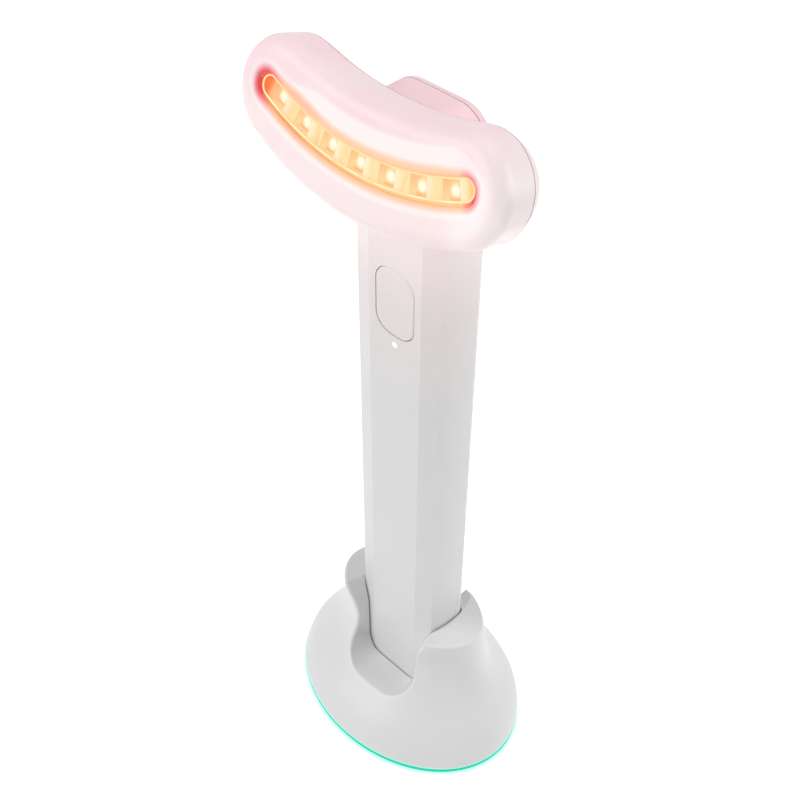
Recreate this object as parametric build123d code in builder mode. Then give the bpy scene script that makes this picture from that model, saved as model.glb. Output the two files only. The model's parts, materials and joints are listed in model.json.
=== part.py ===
from build123d import *
import os
from math import cos, degrees, hypot, radians, sin

os.makedirs("parts", exist_ok=True)

# Light therapy wand standing in its charging dock. Millimetres, table at z = 0,
# front towards -Y, origin under the middle of the dock.

# General clearances
SEAM = 0.25            # shut line left open between two covers
FIT = 0.15             # clearance round a part that drops into its seat
SLIDE_GAP = 0.08       # radial clearance of a pin that slides in a bore
BUTTON_GAP = 0.2       # clearance round the power button
TOUCH = 0.05           # rest gap between two parts that nearly touch

# Grip section, measured from the grip axis
GRIP_Y = 1.3           # grip axis behind the middle of the dock
GRIP_HALF_WIDTH = 13.5
GRIP_FRONT = 8.0       # front flat ahead of the axis
GRIP_BACK = 7.2        # back flat behind the axis
FLAT_HALF_WIDTH = 8.0  # half width of the front flat
FACET_DROP = 1.4       # how far the side facets fall away
SIDE_BULGE = 0.6       # how far each side swells between its corners
FRONT_CORNER_R = 3.0
BACK_CORNER_R = 3.4
GRIP_WALL = 1.8

# Wand heights; what sits at the top end hangs from WAND_TOP
WAND_BOTTOM = 12.0
WAND_TOP = 200.5
CAP_THICKNESS = 2.4
CAP_PLUG = 3.0
CAP_EDGE = 0.6
TOP_CORNER_R = 8.0

# Head: a tilted crescent made of two round lobes and two long arcs
HEAD_TILT = 18.9       # degrees that the face leans back
HEAD_Y = -15.9         # middle emitter, top face
HEAD_DROP = 6.9        # middle emitter below the wand's top
LOBE_IN = 2.12         # lobe centre inside the slot's end centre
LOBE_DROP = 0.68       # lobe centre below the slot's end centre
LOBE_R = 11.3
HEAD_BELOW = 11.9      # lower edge under the middle emitter
HEAD_ABOVE = 13.1      # dip of the upper edge above it
FACE_PROUD = 2.4       # outer face ahead of the emitters
FACE_WALL = 2.6
FACE_ROUND = 3.6
FACE_SEAM = 6.9        # shut line behind the emitters
HEAD_DEPTH = 11.0      # back face behind the emitters
BACK_INSET = 1.8       # the sides taper in by this much
BACK_ROUND = 1.4
HEAD_RIM_WALL = 2.4
LIP_WALL = 1.2
LIP_REACH = 1.2
BACK_WALL = 1.6

# Emitter row
LED_COUNT = 7
LED_PITCH = 7.92
LED_ARC_R = 65.3
LED_SIZE = 2.6
LED_HEIGHT = 0.7
POCKET_LENGTH = 3.9
POCKET_WIDTH = 4.3
SLOT_SPAN = 54.4       # distance along the arc between the slot's end centres
SLOT_WIDTH = 5.6
SLOT_BEVEL = 0.35
WINDOW_RECESS = 0.6
WINDOW_THICKNESS = 0.7
WINDOW_GAP = 0.1
REFLECTOR_FLANGE = 0.5
REFLECTOR_FLANGE_WIDTH = 8.6
LED_BOARD_THICKNESS = 1.0
LED_BOARD_WIDTH = 9.5

# Neck between grip and head, and the block on the grip's top
NECK_HALF_WIDTH = 7.9
NECK_LEAD = 1.0        # the neck starts this far below the block
NECK_LOW_V = -8.6
BLOCK_HEIGHT = 27.5
BLOCK_SILL = 3.0
BLOCK_CAP_DEPTH = 3.2
BLOCK_CAP_ROUND = 2.9
BLOCK_WALL = 2.2
BLOCK_FRONT_WALL = 6.2
MOTOR_X = -4.6
MOTOR_RISE = 10.0      # motor's middle above the block's floor
MOTOR_R = 5.0
MOTOR_THICKNESS = 2.8
MOTOR_ROUND = 0.4

# Power button, its switch and the status light
BUTTON_DROP = 47.5     # button's middle below the wand's top
BUTTON_HALF_WIDTH = 5.8
BUTTON_LENGTH = 18.2
BUTTON_CORNER_R = 4.6
BUTTON_TRAVEL = 0.5
BUTTON_FLANGE = 0.7
BUTTON_FLANGE_WIDTH = 0.8
BUTTON_EDGE = 0.25
SWITCH_SIZE = 5.2
SWITCH_CORNER_R = 0.5
SWITCH_HEIGHT = 2.2
PLUNGER_R = 1.5
PLUNGER_LENGTH = 2.0
LIGHT_DROP = 11.8      # status light below the button's middle
LIGHT_R = 0.7
LIGHT_COLLAR_R = 1.3
STATUS_LED = (1.6, 1.2)

# Inside the grip
BOARD_HALF_WIDTH = 8.6
BOARD_LENGTH = 62.0
BOARD_LEAD = 7.0       # board's top edge above the button's middle
BOARD_THICKNESS = 1.0
BOARD_FRONT = 2.0      # board's front face ahead of the grip axis
POST_X = 5.8
POST_LOW = 5.0         # posts above the board's lower edge
POST_HIGH = 33.0
POST_R = 2.0
CHIP_HEIGHT = 1.1
MAIN_CHIP = 6.0
MAIN_CHIP_RISE = 44.0  # parts above the board's lower edge
SMALL_CHIP = (3.2, 1.6)
SMALL_CHIP_X = 4.5
SMALL_CHIP_RISE = 22.0
CONNECTOR_HEIGHT = 3.0
CONNECTOR_DROP = 3.5   # connector's middle below the board's top edge
COIL_R = 2.6
COIL_X = -3.5
COIL_RISE = 14.0
SOCKET_SIZE = (5.0, 4.0)
SOCKET_RISE = 4.0
TALL_PART_HEIGHT = 2.6
BATTERY_WIDTH = 18.0
BATTERY_FRONT = 4.0    # battery's front face ahead of the grip axis
BATTERY_DEPTH = 8.6
BATTERY_ROUND = 3.5
BATTERY_EDGE = 0.8
BATTERY_RISE = 16.6    # battery's foot above the end cap
BATTERY_DROP = 7.0     # battery's top below the board
PAD_WIDTH = 12.0
PAD_HEIGHT = 8.0
PAD_INSET = 14.0
LEAD_R = 0.5
LEAD_X = 10.4
LEAD_BEND = 3.0
LEAD_TURN_R = 1.5
COVER_HALF_WIDTH = 9.6
COVER_RISE = 3.6       # cover's foot above the end cap
COVER_DROP = 3.0       # cover's top below the block
COVER_CORNER_R = 3.0
COVER_SCREW_LOW = 6.0  # screws inside the cover's ends
COVER_SCREW_HIGH = 3.8
SCREW_BOSS_R = 2.6
RIBBON_X = 5.6
RIBBON_WIDTH = 4.0
RIBBON_THICKNESS = 0.3
RIBBON_V = -3.0        # where the ribbon enters the head
RIBBON_ROOM = 0.9
RIBBON_WAY = 9.0
RIBBON_START = 2.0     # ribbon's foot below the board's top edge
RIBBON_TURN_R = 2.0

# Screws
SCREW_R = 0.9
SCREW_HEAD_R = 1.8
SCREW_HEAD = 1.0
SCREW_SOCKET_R = 0.7
SCREW_SOCKET = 0.5
PAN_HEAD_R = 1.6
PAN_HEAD = 0.9
PAN_ROUND = 0.35
COVER_SCREW_LENGTH = 7.0
BOARD_SCREW_LENGTH = 3.4
HEAD_SCREW_LENGTH = 4.4
HEAD_SCREW_X = 6.4
HEAD_SCREW_V = 1.4
DOCK_SCREW_LENGTH = 8.0

# Charging contacts
CONTACT_X = 4.0
CONTACT_R = 1.7
CONTACT_THICKNESS = 0.8
CONTACT_STEP = 1.0
CONTACT_EDGE = 0.5
PIN_R = 0.9
PIN_FLANGE_R = 1.35
PIN_FLANGE = 0.6
PIN_TRAVEL = 0.5
PIN_TIP_ROUND = 0.54
PIN_POCKET = 1.8
CARRIER_LENGTH = 15.0
CARRIER_WIDTH = 6.0

# Dock dome: oval sections from the light ring up
RING_BOTTOM = 0.8
RING_TOP = 2.2
DOCK_HALF_X = 36.6
DOCK_HALF_Y = 27.6
DOME_SECTIONS = (
    # height, inset of the sides, inset of front and back, centre behind the middle
    (10.0, 2.4, 3.2, 1.5),
    (20.0, 9.0, 10.3, 2.3),
    (30.0, 12.2, 13.4, 2.4),
    (38.0, 12.9, 12.9, 1.4),
    (45.0, 16.6, 12.3, -1.0),
)
DOCK_WALL = 2.2
RIM_Z = 42.0           # rim height at the middle of the dock
RIM_SLOPE = 0.19       # rise of the rim towards the front
RIM_INSET_X = 15.0     # rim's outer edge inside the dock's oval
RIM_INSET_Y = 12.5
RIM_Y = -0.2
WELL_GAP = 0.35
WELL_FLOOR = 2.0
RIM_EDGE = 0.5         # rim left round the dish
RIM_ROUND = 0.8
DISH_DEPTH = 3.2
DISH_SAG = 1.9         # depth of the dish half way in
DISH_INSET = 8.0       # how far the dish runs in
BOSS_INSET_X = 15.6
BOSS_INSET_Y = 16.6
BOSS_R = 3.2
ABOVE_ALL = 60.0

# Scoop in the dock's front and notch in its back
SCOOP_INNER_Y = -5.0
SCOOP_OUTER_Y = -30.0
SCOOP_INNER = (10.4, 14.6, 5.5)    # half width, floor height, corner radius
SCOOP_OUTER = (15.7, 18.2, 11.5)
SCOOP_FLARE_Z = 31.0
SCOOP_FLARE_R = 25.0
NOTCH_HALF_WIDTH = 8.0
NOTCH_FLOOR = 31.0
NOTCH_CORNER_R = 5.0

# Dock base
RING_WIDTH = 5.8
RING_LIP = 1.4
RING_LIP_INSET = 3.0
RING_LIP_WIDTH = 1.9
RING_LEDGE_WIDTH = 0.8
RING_LED_ROOM = 0.8
RING_BOARD_INSET = 3.9
RING_BOARD_WIDTH = 2.2
RING_BOARD_THICKNESS = 0.8
RING_LED_COUNT = 12
RING_LED_WIDTH = 0.8
FOOT_INSET = 5.0
BALLAST_INSET = 8.0
BALLAST_THICKNESS = 3.0
BALLAST_GAP = 0.4

# Dock electronics
DOCK_BOARD_X = 13.0
DOCK_BOARD_FRONT = -7.0
DOCK_BOARD_SHORT = 10.6    # board's back edge inside the dock's oval
DOCK_BOARD_TONGUE_SHORT = 5.4
DOCK_BOARD_TONGUE_X = 6.0
DOCK_BOARD_THICKNESS = 1.2
DOCK_BOARD_DROP = 1.4  # below the well's floor
DOCK_BOARD_CORNER_R = 1.5
DOCK_CHIP = 5.0
DOCK_CHIP_PLACE = (-6.5, 13.0)
DOCK_PART = (3.2, 2.0)
DOCK_PART_PLACES = ((4.5, 13.0), (4.5, 2.0), (-6.0, -1.0))
DOCK_PART_HEIGHT = 1.0
PILLAR_X = 10.6
PILLAR_Y = 8.6
PILLAR_R = 2.0
PILLAR_SCREW_LENGTH = 2.8
USB_WIDTH = 8.9
USB_HEIGHT = 3.2
USB_LENGTH = 7.4
USB_WALL = 0.35
USB_SETBACK = 3.0      # socket's mouth inside the dock's oval
USB_TONGUE = (6.2, 0.7, 4.6)

# Heights and places that follow from the sizes above
BLOCK_BOTTOM = WAND_TOP - BLOCK_HEIGHT
BLOCK_FLOOR = BLOCK_BOTTOM + BLOCK_SILL
NECK_START = BLOCK_BOTTOM - NECK_LEAD
MOTOR_Z = BLOCK_FLOOR + MOTOR_RISE
HEAD_Z = WAND_TOP - HEAD_DROP
SLOT_END = SLOT_SPAN / LED_ARC_R / 2
LOBE_X = LED_ARC_R * sin(SLOT_END) - LOBE_IN
LOBE_V = LED_ARC_R * (1 - cos(SLOT_END)) - LOBE_DROP
BUTTON_Z = WAND_TOP - BUTTON_DROP
LIGHT_Z = BUTTON_Z - LIGHT_DROP
BOARD_TOP = BUTTON_Z + BOARD_LEAD
BOARD_BOTTOM = BOARD_TOP - BOARD_LENGTH
BOARD_POSTS = (
    (-POST_X, BOARD_BOTTOM + POST_LOW),
    (POST_X, BOARD_BOTTOM + POST_LOW),
    (0, BOARD_BOTTOM + POST_HIGH),
)
BATTERY_BOTTOM = WAND_BOTTOM + CAP_THICKNESS + BATTERY_RISE
BATTERY_TOP = BOARD_BOTTOM - BATTERY_DROP
COVER_BOTTOM = WAND_BOTTOM + CAP_THICKNESS + COVER_RISE
COVER_TOP = BLOCK_BOTTOM - COVER_DROP
COVER_SCREW_HEIGHTS = (COVER_BOTTOM + COVER_SCREW_LOW, COVER_TOP - COVER_SCREW_HIGH)
BOSS_X = DOCK_HALF_X - BOSS_INSET_X
BOSS_Y = DOCK_HALF_Y - BOSS_INSET_Y
DOCK_BOARD_BACK = DOCK_HALF_Y - DOCK_BOARD_SHORT
DOCK_BOARD_TONGUE = DOCK_HALF_Y - DOCK_BOARD_TONGUE_SHORT
USB_MOUTH_Y = DOCK_HALF_Y - USB_SETBACK
ROOF_Z = NOTCH_FLOOR - DOCK_WALL
RIM_HALF_X = DOCK_HALF_X - RIM_INSET_X
RIM_HALF_Y = DOCK_HALF_Y - RIM_INSET_Y
WELL_BASE = WAND_BOTTOM - TOUCH - WELL_FLOOR
DOCK_BOARD_Z = WELL_BASE - DOCK_BOARD_DROP - DOCK_BOARD_THICKNESS
DOCK_BOARD_TOP = DOCK_BOARD_Z + DOCK_BOARD_THICKNESS
HOUSING_BOTTOM = WAND_BOTTOM + CAP_THICKNESS
FRONT_Y = GRIP_Y - GRIP_FRONT
BACK_Y = GRIP_Y + GRIP_BACK
BLOCK_SEAM_Y = BACK_Y - BLOCK_CAP_DEPTH
FACE_TILT = radians(HEAD_TILT)
FACE_IN = FACE_PROUD - FACE_WALL
WINDOW_BACK = FACE_PROUD - WINDOW_RECESS - WINDOW_THICKNESS

face_plane = Plane(
    origin=(0, HEAD_Y, HEAD_Z),
    x_dir=(1, 0, 0),
    z_dir=(0, -cos(FACE_TILT), sin(FACE_TILT)),
)
face_axis = Axis(face_plane.origin, face_plane.z_dir)


rim_plane = Plane(origin=(0, RIM_Y, RIM_Z - RIM_SLOPE * RIM_Y), z_dir=(0, RIM_SLOPE, 1))


def facing_front(y):
    """Upright plane at y that looks towards the front."""
    return Plane(origin=(0, y, 0), x_dir=(1, 0, 0), z_dir=(0, -1, 0))


def side_point(v, n):
    """Side view place (y, z) of a point v up the face and n ahead of it."""
    y = HEAD_Y + v * sin(FACE_TILT) - n * cos(FACE_TILT)
    z = HEAD_Z + v * cos(FACE_TILT) + n * sin(FACE_TILT)
    return (y, z)


def grip_outline(grow=0.0):
    """Outline of the grip's section, moved outwards by grow."""
    corner_x = GRIP_HALF_WIDTH - SIDE_BULGE
    corner_y = FACET_DROP - GRIP_FRONT
    middle_y = (corner_y + GRIP_BACK) / 2
    with BuildSketch(mode=Mode.PRIVATE) as outline:
        with BuildLine():
            Line((0, -GRIP_FRONT), (FLAT_HALF_WIDTH, -GRIP_FRONT))
            Line((FLAT_HALF_WIDTH, -GRIP_FRONT), (corner_x, corner_y))
            ThreePointArc((corner_x, corner_y), (GRIP_HALF_WIDTH, middle_y), (corner_x, GRIP_BACK))
            Line((corner_x, GRIP_BACK), (0, GRIP_BACK))
            mirror(about=Plane.YZ)
        make_face()
        corners = outline.vertices().group_by(Axis.Y)
        fillet(corners[-1], BACK_CORNER_R)
        fillet(corners[1], FRONT_CORNER_R)
        if grow:
            offset(amount=grow, kind=Kind.INTERSECTION)
    return Pos(0, GRIP_Y) * outline.sketch


def block_outline(inset=0.0, bottom=BLOCK_BOTTOM):
    """Front view of the grip's top end, with its two round corners."""
    half = GRIP_HALF_WIDTH - inset
    top = WAND_TOP - inset
    with BuildSketch(mode=Mode.PRIVATE) as outline:
        with Locations((0, (top + bottom) / 2)):
            Rectangle(2 * half, top - bottom)
        fillet(outline.vertices().group_by(Axis.Y)[-1], TOP_CORNER_R - inset)
    return outline.sketch


def head_outline(inset=0.0):
    """Crescent outline in the face plane, moved inwards by inset."""
    low = HEAD_BELOW + LOBE_V
    high = HEAD_ABOVE - LOBE_V
    low_r = (LOBE_X**2 + low**2 - LOBE_R**2) / (2 * (low - LOBE_R))
    high_r = (LOBE_X**2 + high**2 - LOBE_R**2) / (2 * (LOBE_R - high))
    low_centre = low_r - HEAD_BELOW
    high_centre = high_r + HEAD_ABOVE
    reach_low = (low_r - inset) / hypot(LOBE_X, low_centre - LOBE_V)
    reach_high = (high_r + inset) / hypot(LOBE_X, high_centre - LOBE_V)
    low_x = LOBE_X * reach_low
    low_v = low_centre - (low_centre - LOBE_V) * reach_low
    high_x = LOBE_X * reach_high
    high_v = high_centre - (high_centre - LOBE_V) * reach_high
    end_x = LOBE_X + LOBE_R - inset
    with BuildSketch(mode=Mode.PRIVATE) as outline:
        with BuildLine():
            ThreePointArc((-low_x, low_v), (0, inset - HEAD_BELOW), (low_x, low_v))
            ThreePointArc((low_x, low_v), (end_x, LOBE_V), (high_x, high_v))
            ThreePointArc((high_x, high_v), (0, HEAD_ABOVE - inset), (-high_x, high_v))
            ThreePointArc((-high_x, high_v), (-end_x, LOBE_V), (-low_x, low_v))
        make_face()
    return outline.sketch


def emitter_band(width):
    """Band with round ends that follows the emitter arc."""
    half_angle = degrees(SLOT_END)
    with BuildSketch(mode=Mode.PRIVATE) as outline:
        arc = CenterArc((0, LED_ARC_R), LED_ARC_R, 270 - half_angle, 2 * half_angle)
        SlotArc(arc, width)
    return outline.sketch


def emitter_places():
    """Places of the emitters on their arc, in the face plane."""
    step = degrees(LED_PITCH / LED_ARC_R)
    places = []
    for number in range(LED_COUNT):
        turn = (number - (LED_COUNT - 1) / 2) * step
        x = LED_ARC_R * sin(radians(turn))
        v = LED_ARC_R * (1 - cos(radians(turn)))
        places.append(Location((x, v), turn))
    return places


def scoop_outline(half_width, floor, corner, grow=0.0):
    """U-shaped opening that flares out at its top, seen from the front."""
    side = half_width + grow
    low = floor - grow
    flare = SCOOP_FLARE_R
    with BuildSketch(mode=Mode.PRIVATE) as outline:
        with BuildLine():
            Line((0, low), (side - corner, low))
            RadiusArc((side - corner, low), (side, low + corner), -corner)
            Line((side, low + corner), (side, SCOOP_FLARE_Z))
            RadiusArc((side, SCOOP_FLARE_Z), (side + flare, SCOOP_FLARE_Z + flare), flare)
            Line((side + flare, SCOOP_FLARE_Z + flare), (side + flare, ABOVE_ALL))
            Line((side + flare, ABOVE_ALL), (0, ABOVE_ALL))
            mirror(about=Plane.YZ)
        make_face()
    return outline.sketch


def dock_oval(inset):
    """Oval of the dock's foot, moved inwards by inset."""
    return Ellipse(DOCK_HALF_X - inset, DOCK_HALF_Y - inset, mode=Mode.PRIVATE)


def button_outline(grow=0.0):
    """Rounded outline of the power button in a plane facing the front."""
    shape = RectangleRounded(
        2 * (BUTTON_HALF_WIDTH + grow),
        BUTTON_LENGTH + 2 * grow,
        BUTTON_CORNER_R + grow,
        mode=Mode.PRIVATE,
    )
    return Pos(0, BUTTON_Z) * shape


def screw(plane, length):
    """Countersunk screw whose head is flush with the plane, pointing against its normal."""
    with BuildPart(mode=Mode.PRIVATE) as body:
        with BuildSketch(plane):
            Circle(SCREW_HEAD_R)
        with BuildSketch(plane.offset(-SCREW_HEAD)):
            Circle(SCREW_R)
        loft()
        with BuildSketch(plane.offset(-SCREW_HEAD)):
            Circle(SCREW_R)
        extrude(amount=-(length - SCREW_HEAD))
        with BuildSketch(plane):
            RegularPolygon(SCREW_SOCKET_R, 6)
        extrude(amount=-SCREW_SOCKET, mode=Mode.SUBTRACT)
    return body.part


def pan_screw(plane, length):
    """Round-head screw whose head stands on the plane, pointing against its normal."""
    with BuildPart(mode=Mode.PRIVATE) as body:
        with BuildSketch(plane):
            Circle(PAN_HEAD_R)
        extrude(amount=PAN_HEAD)
        fillet(body.faces().sort_by(Axis(plane.origin, plane.z_dir))[-1].edges(), PAN_ROUND)
        with BuildSketch(plane):
            Circle(SCREW_R)
        extrude(amount=-length)
        with BuildSketch(plane.offset(PAN_HEAD)):
            RegularPolygon(SCREW_SOCKET_R, 6)
        extrude(amount=-SCREW_SOCKET, mode=Mode.SUBTRACT)
    return body.part


def save(piece, name):
    """Name a finished piece and write it to its own file."""
    piece.part.label = name
    export_step(piece.part, f"parts/{name}.step")


# Dock dome, its hollow, and the shell with well, scoop, notch and sloping rim
with BuildPart() as dome:
    with BuildSketch(Plane.XY.offset(RING_TOP)):
        add(dock_oval(0))
    for height, inset_x, inset_y, centre in DOME_SECTIONS:
        with BuildSketch(Plane.XY.offset(height)):
            with Locations((0, centre)):
                Ellipse(DOCK_HALF_X - inset_x, DOCK_HALF_Y - inset_y)
    loft()

with BuildPart() as dock_cavity:
    with BuildSketch(Plane.XY.offset(RING_TOP)):
        add(dock_oval(DOCK_WALL))
    for height, inset_x, inset_y, centre in DOME_SECTIONS[:-1]:
        with BuildSketch(Plane.XY.offset(height)):
            with Locations((0, centre)):
                Ellipse(DOCK_HALF_X - inset_x - DOCK_WALL, DOCK_HALF_Y - inset_y - DOCK_WALL)
    loft()
    with BuildSketch(Plane.XY.offset(ROOF_Z)):
        Rectangle(2 * DOCK_HALF_X, 2 * DOCK_HALF_X)
    extrude(amount=ABOVE_ALL, mode=Mode.SUBTRACT)
    with BuildSketch(Plane.XY.offset(WELL_BASE)):
        add(grip_outline(WELL_GAP + DOCK_WALL))
    extrude(amount=ABOVE_ALL, mode=Mode.SUBTRACT)
    with BuildSketch(facing_front(SCOOP_INNER_Y)):
        add(scoop_outline(*SCOOP_INNER, grow=DOCK_WALL))
    with BuildSketch(facing_front(SCOOP_OUTER_Y)):
        add(scoop_outline(*SCOOP_OUTER, grow=DOCK_WALL))
    loft(mode=Mode.SUBTRACT)
    with BuildSketch(Plane.XY.offset(RING_TOP)):
        with GridLocations(2 * BOSS_X, 2 * BOSS_Y, 2, 2):
            Circle(BOSS_R)
    extrude(amount=ABOVE_ALL, mode=Mode.SUBTRACT)

with BuildPart() as dock_shell:
    add(dome.part)
    with BuildSketch(rim_plane):
        Rectangle(3 * DOCK_HALF_X, 3 * DOCK_HALF_X)
    extrude(amount=ABOVE_ALL, mode=Mode.SUBTRACT)
    # Dish that slopes in to the well
    for depth, inset in ((0, RIM_EDGE), (DISH_SAG, DISH_INSET / 2), (DISH_DEPTH, DISH_INSET)):
        with BuildSketch(rim_plane.offset(-depth)):
            Ellipse(RIM_HALF_X - inset, RIM_HALF_Y - inset)
    loft(mode=Mode.SUBTRACT)
    with BuildSketch(facing_front(SCOOP_INNER_Y)):
        add(scoop_outline(*SCOOP_INNER))
    with BuildSketch(facing_front(SCOOP_OUTER_Y)):
        add(scoop_outline(*SCOOP_OUTER))
    loft(mode=Mode.SUBTRACT)
    # Round the edges where scoop and rim leave the dome
    outside = dock_shell.faces().sort_by(SortBy.AREA)[-1]
    fillet(outside.edges().filter_by(lambda edge: edge.center().Z > WAND_BOTTOM), RIM_ROUND)
    add(dock_cavity.part, mode=Mode.SUBTRACT)
    with BuildSketch(Plane.XY.offset(WELL_BASE + WELL_FLOOR)):
        add(grip_outline(WELL_GAP))
    extrude(amount=ABOVE_ALL, mode=Mode.SUBTRACT)
    # Back notch, behind the wand
    with BuildSketch(facing_front(GRIP_Y)):
        with Locations((0, (NOTCH_FLOOR + ABOVE_ALL) / 2)):
            RectangleRounded(2 * NOTCH_HALF_WIDTH, ABOVE_ALL - NOTCH_FLOOR, NOTCH_CORNER_R)
    extrude(amount=-DOCK_HALF_Y, mode=Mode.SUBTRACT)
    # Pillars for the circuit board, under the well's floor
    with BuildSketch(Plane.XY.offset(DOCK_BOARD_TOP)):
        with Locations((-PILLAR_X, PILLAR_Y), (PILLAR_X, PILLAR_Y)):
            Circle(PILLAR_R)
    extrude(amount=DOCK_BOARD_DROP + TOUCH)
    with BuildSketch(Plane.XY.offset(DOCK_BOARD_TOP)):
        with Locations((-PILLAR_X, PILLAR_Y), (PILLAR_X, PILLAR_Y)):
            Circle(SCREW_R)
    extrude(amount=PILLAR_SCREW_LENGTH - DOCK_BOARD_THICKNESS, mode=Mode.SUBTRACT)
    # Window for the pin carrier, socket cut-out and screw holes
    with BuildSketch(Plane.XY.offset(WELL_BASE)):
        with Locations((0, GRIP_Y)):
            Rectangle(CARRIER_LENGTH + 2 * FIT, CARRIER_WIDTH + 2 * FIT)
    extrude(amount=WELL_FLOOR + TOUCH, mode=Mode.SUBTRACT)
    with BuildSketch(facing_front(DOCK_BOARD_BACK)):
        with Locations((0, DOCK_BOARD_TOP + USB_HEIGHT / 2)):
            SlotOverall(USB_WIDTH + 2 * SEAM, USB_HEIGHT + 2 * SEAM)
    extrude(amount=-DOCK_HALF_Y, mode=Mode.SUBTRACT)
    with BuildSketch(Plane.XY.offset(RING_TOP)):
        with GridLocations(2 * BOSS_X, 2 * BOSS_Y, 2, 2):
            Circle(SCREW_R)
    extrude(amount=DOCK_SCREW_LENGTH, mode=Mode.SUBTRACT)
save(dock_shell, "dock_shell")

# Light ring at the dock's foot, with a lip that takes in the light
with BuildPart() as dock_light_ring:
    with BuildSketch(Plane.XY.offset(RING_BOTTOM)):
        add(dock_oval(0))
        add(dock_oval(RING_WIDTH), mode=Mode.SUBTRACT)
    extrude(amount=RING_TOP - RING_BOTTOM)
    ledge_inset = RING_LIP_INSET + RING_LIP_WIDTH
    with BuildSketch(Plane.XY.offset(RING_TOP)):
        add(dock_oval(RING_LIP_INSET))
        add(dock_oval(ledge_inset), mode=Mode.SUBTRACT)
    extrude(amount=RING_LIP)
    with BuildSketch(Plane.XY.offset(RING_TOP)):
        add(dock_oval(ledge_inset))
        add(dock_oval(ledge_inset + RING_LEDGE_WIDTH), mode=Mode.SUBTRACT)
    extrude(amount=RING_LIP + RING_LED_ROOM)
save(dock_light_ring, "dock_light_ring")

ring_board_z = RING_TOP + RING_LIP + RING_LED_ROOM
with BuildPart() as ring_light_board:
    with BuildSketch(Plane.XY.offset(ring_board_z)):
        add(dock_oval(RING_BOARD_INSET))
        add(dock_oval(RING_BOARD_INSET + RING_BOARD_WIDTH), mode=Mode.SUBTRACT)
    extrude(amount=RING_BOARD_THICKNESS)
save(ring_light_board, "ring_light_board")

with BuildPart() as ring_leds:
    led_inset = RING_BOARD_INSET + RING_LED_WIDTH / 2
    with BuildSketch(Plane.XY.offset(ring_board_z)):
        for number in range(RING_LED_COUNT):
            angle = radians((number + 0.5) * 360 / RING_LED_COUNT)
            spot_x = (DOCK_HALF_X - led_inset) * cos(angle)
            spot_y = (DOCK_HALF_Y - led_inset) * sin(angle)
            with Locations((spot_x, spot_y)):
                Rectangle(RING_LED_WIDTH, RING_LED_WIDTH)
    extrude(amount=-(RING_LED_ROOM - FIT))
save(ring_leds, "ring_leds")

# Base plate, rubber foot, ballast and the screws from below
with BuildPart() as dock_base_plate:
    with BuildSketch(Plane.XY.offset(RING_BOTTOM)):
        add(dock_oval(RING_WIDTH + FIT))
    extrude(amount=RING_TOP - RING_BOTTOM)
    with Locations(Plane(origin=(0, 0, RING_BOTTOM), z_dir=(0, 0, -1))):
        with GridLocations(2 * BOSS_X, 2 * BOSS_Y, 2, 2):
            CounterSinkHole(SCREW_R + FIT, SCREW_HEAD_R + FIT)
save(dock_base_plate, "dock_base_plate")

with BuildPart() as dock_foot:
    with BuildSketch():
        add(dock_oval(FOOT_INSET))
    extrude(amount=RING_BOTTOM)
save(dock_foot, "dock_foot")

with BuildPart() as dock_ballast:
    with BuildSketch(Plane.XY.offset(RING_TOP)):
        add(dock_oval(BALLAST_INSET))
        with GridLocations(2 * BOSS_X, 2 * BOSS_Y, 2, 2):
            Circle(BOSS_R + BALLAST_GAP, mode=Mode.SUBTRACT)
    extrude(amount=BALLAST_THICKNESS)
save(dock_ballast, "dock_ballast")

dock_screw_spots = [(x, y) for x in (-BOSS_X, BOSS_X) for y in (-BOSS_Y, BOSS_Y)]
dock_screw_set = [
    screw(Plane(origin=(x, y, RING_BOTTOM), z_dir=(0, 0, -1)), DOCK_SCREW_LENGTH)
    for x, y in dock_screw_spots
]
with BuildPart() as dock_screws:
    add(dock_screw_set)
save(dock_screws, "dock_screws")

# Dock circuit board with its parts, pin carrier, charge pins and socket
with BuildPart() as dock_board:
    with BuildSketch(Plane.XY.offset(DOCK_BOARD_Z)):
        with Locations((0, (DOCK_BOARD_FRONT + DOCK_BOARD_BACK) / 2)):
            board_depth = DOCK_BOARD_BACK - DOCK_BOARD_FRONT
            RectangleRounded(2 * DOCK_BOARD_X, board_depth, DOCK_BOARD_CORNER_R)
        with Locations((0, DOCK_BOARD_TONGUE / 2)):
            Rectangle(2 * DOCK_BOARD_TONGUE_X, DOCK_BOARD_TONGUE)
        with Locations((-PILLAR_X, PILLAR_Y), (PILLAR_X, PILLAR_Y)):
            Circle(SCREW_R + FIT, mode=Mode.SUBTRACT)
    extrude(amount=DOCK_BOARD_THICKNESS)
save(dock_board, "dock_board")

with BuildPart() as dock_board_parts:
    with BuildSketch(Plane.XY.offset(DOCK_BOARD_Z)):
        with Locations(DOCK_CHIP_PLACE):
            Rectangle(DOCK_CHIP, DOCK_CHIP)
        with Locations(DOCK_PART_PLACES):
            Rectangle(*DOCK_PART)
    extrude(amount=-DOCK_PART_HEIGHT)
save(dock_board_parts, "dock_board_parts")

dock_board_screw_set = [
    pan_screw(Plane(origin=(x, PILLAR_Y, DOCK_BOARD_Z), z_dir=(0, 0, -1)), PILLAR_SCREW_LENGTH)
    for x in (-PILLAR_X, PILLAR_X)
]
with BuildPart() as dock_board_screws:
    add(dock_board_screw_set)
save(dock_board_screws, "dock_board_screws")

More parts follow.
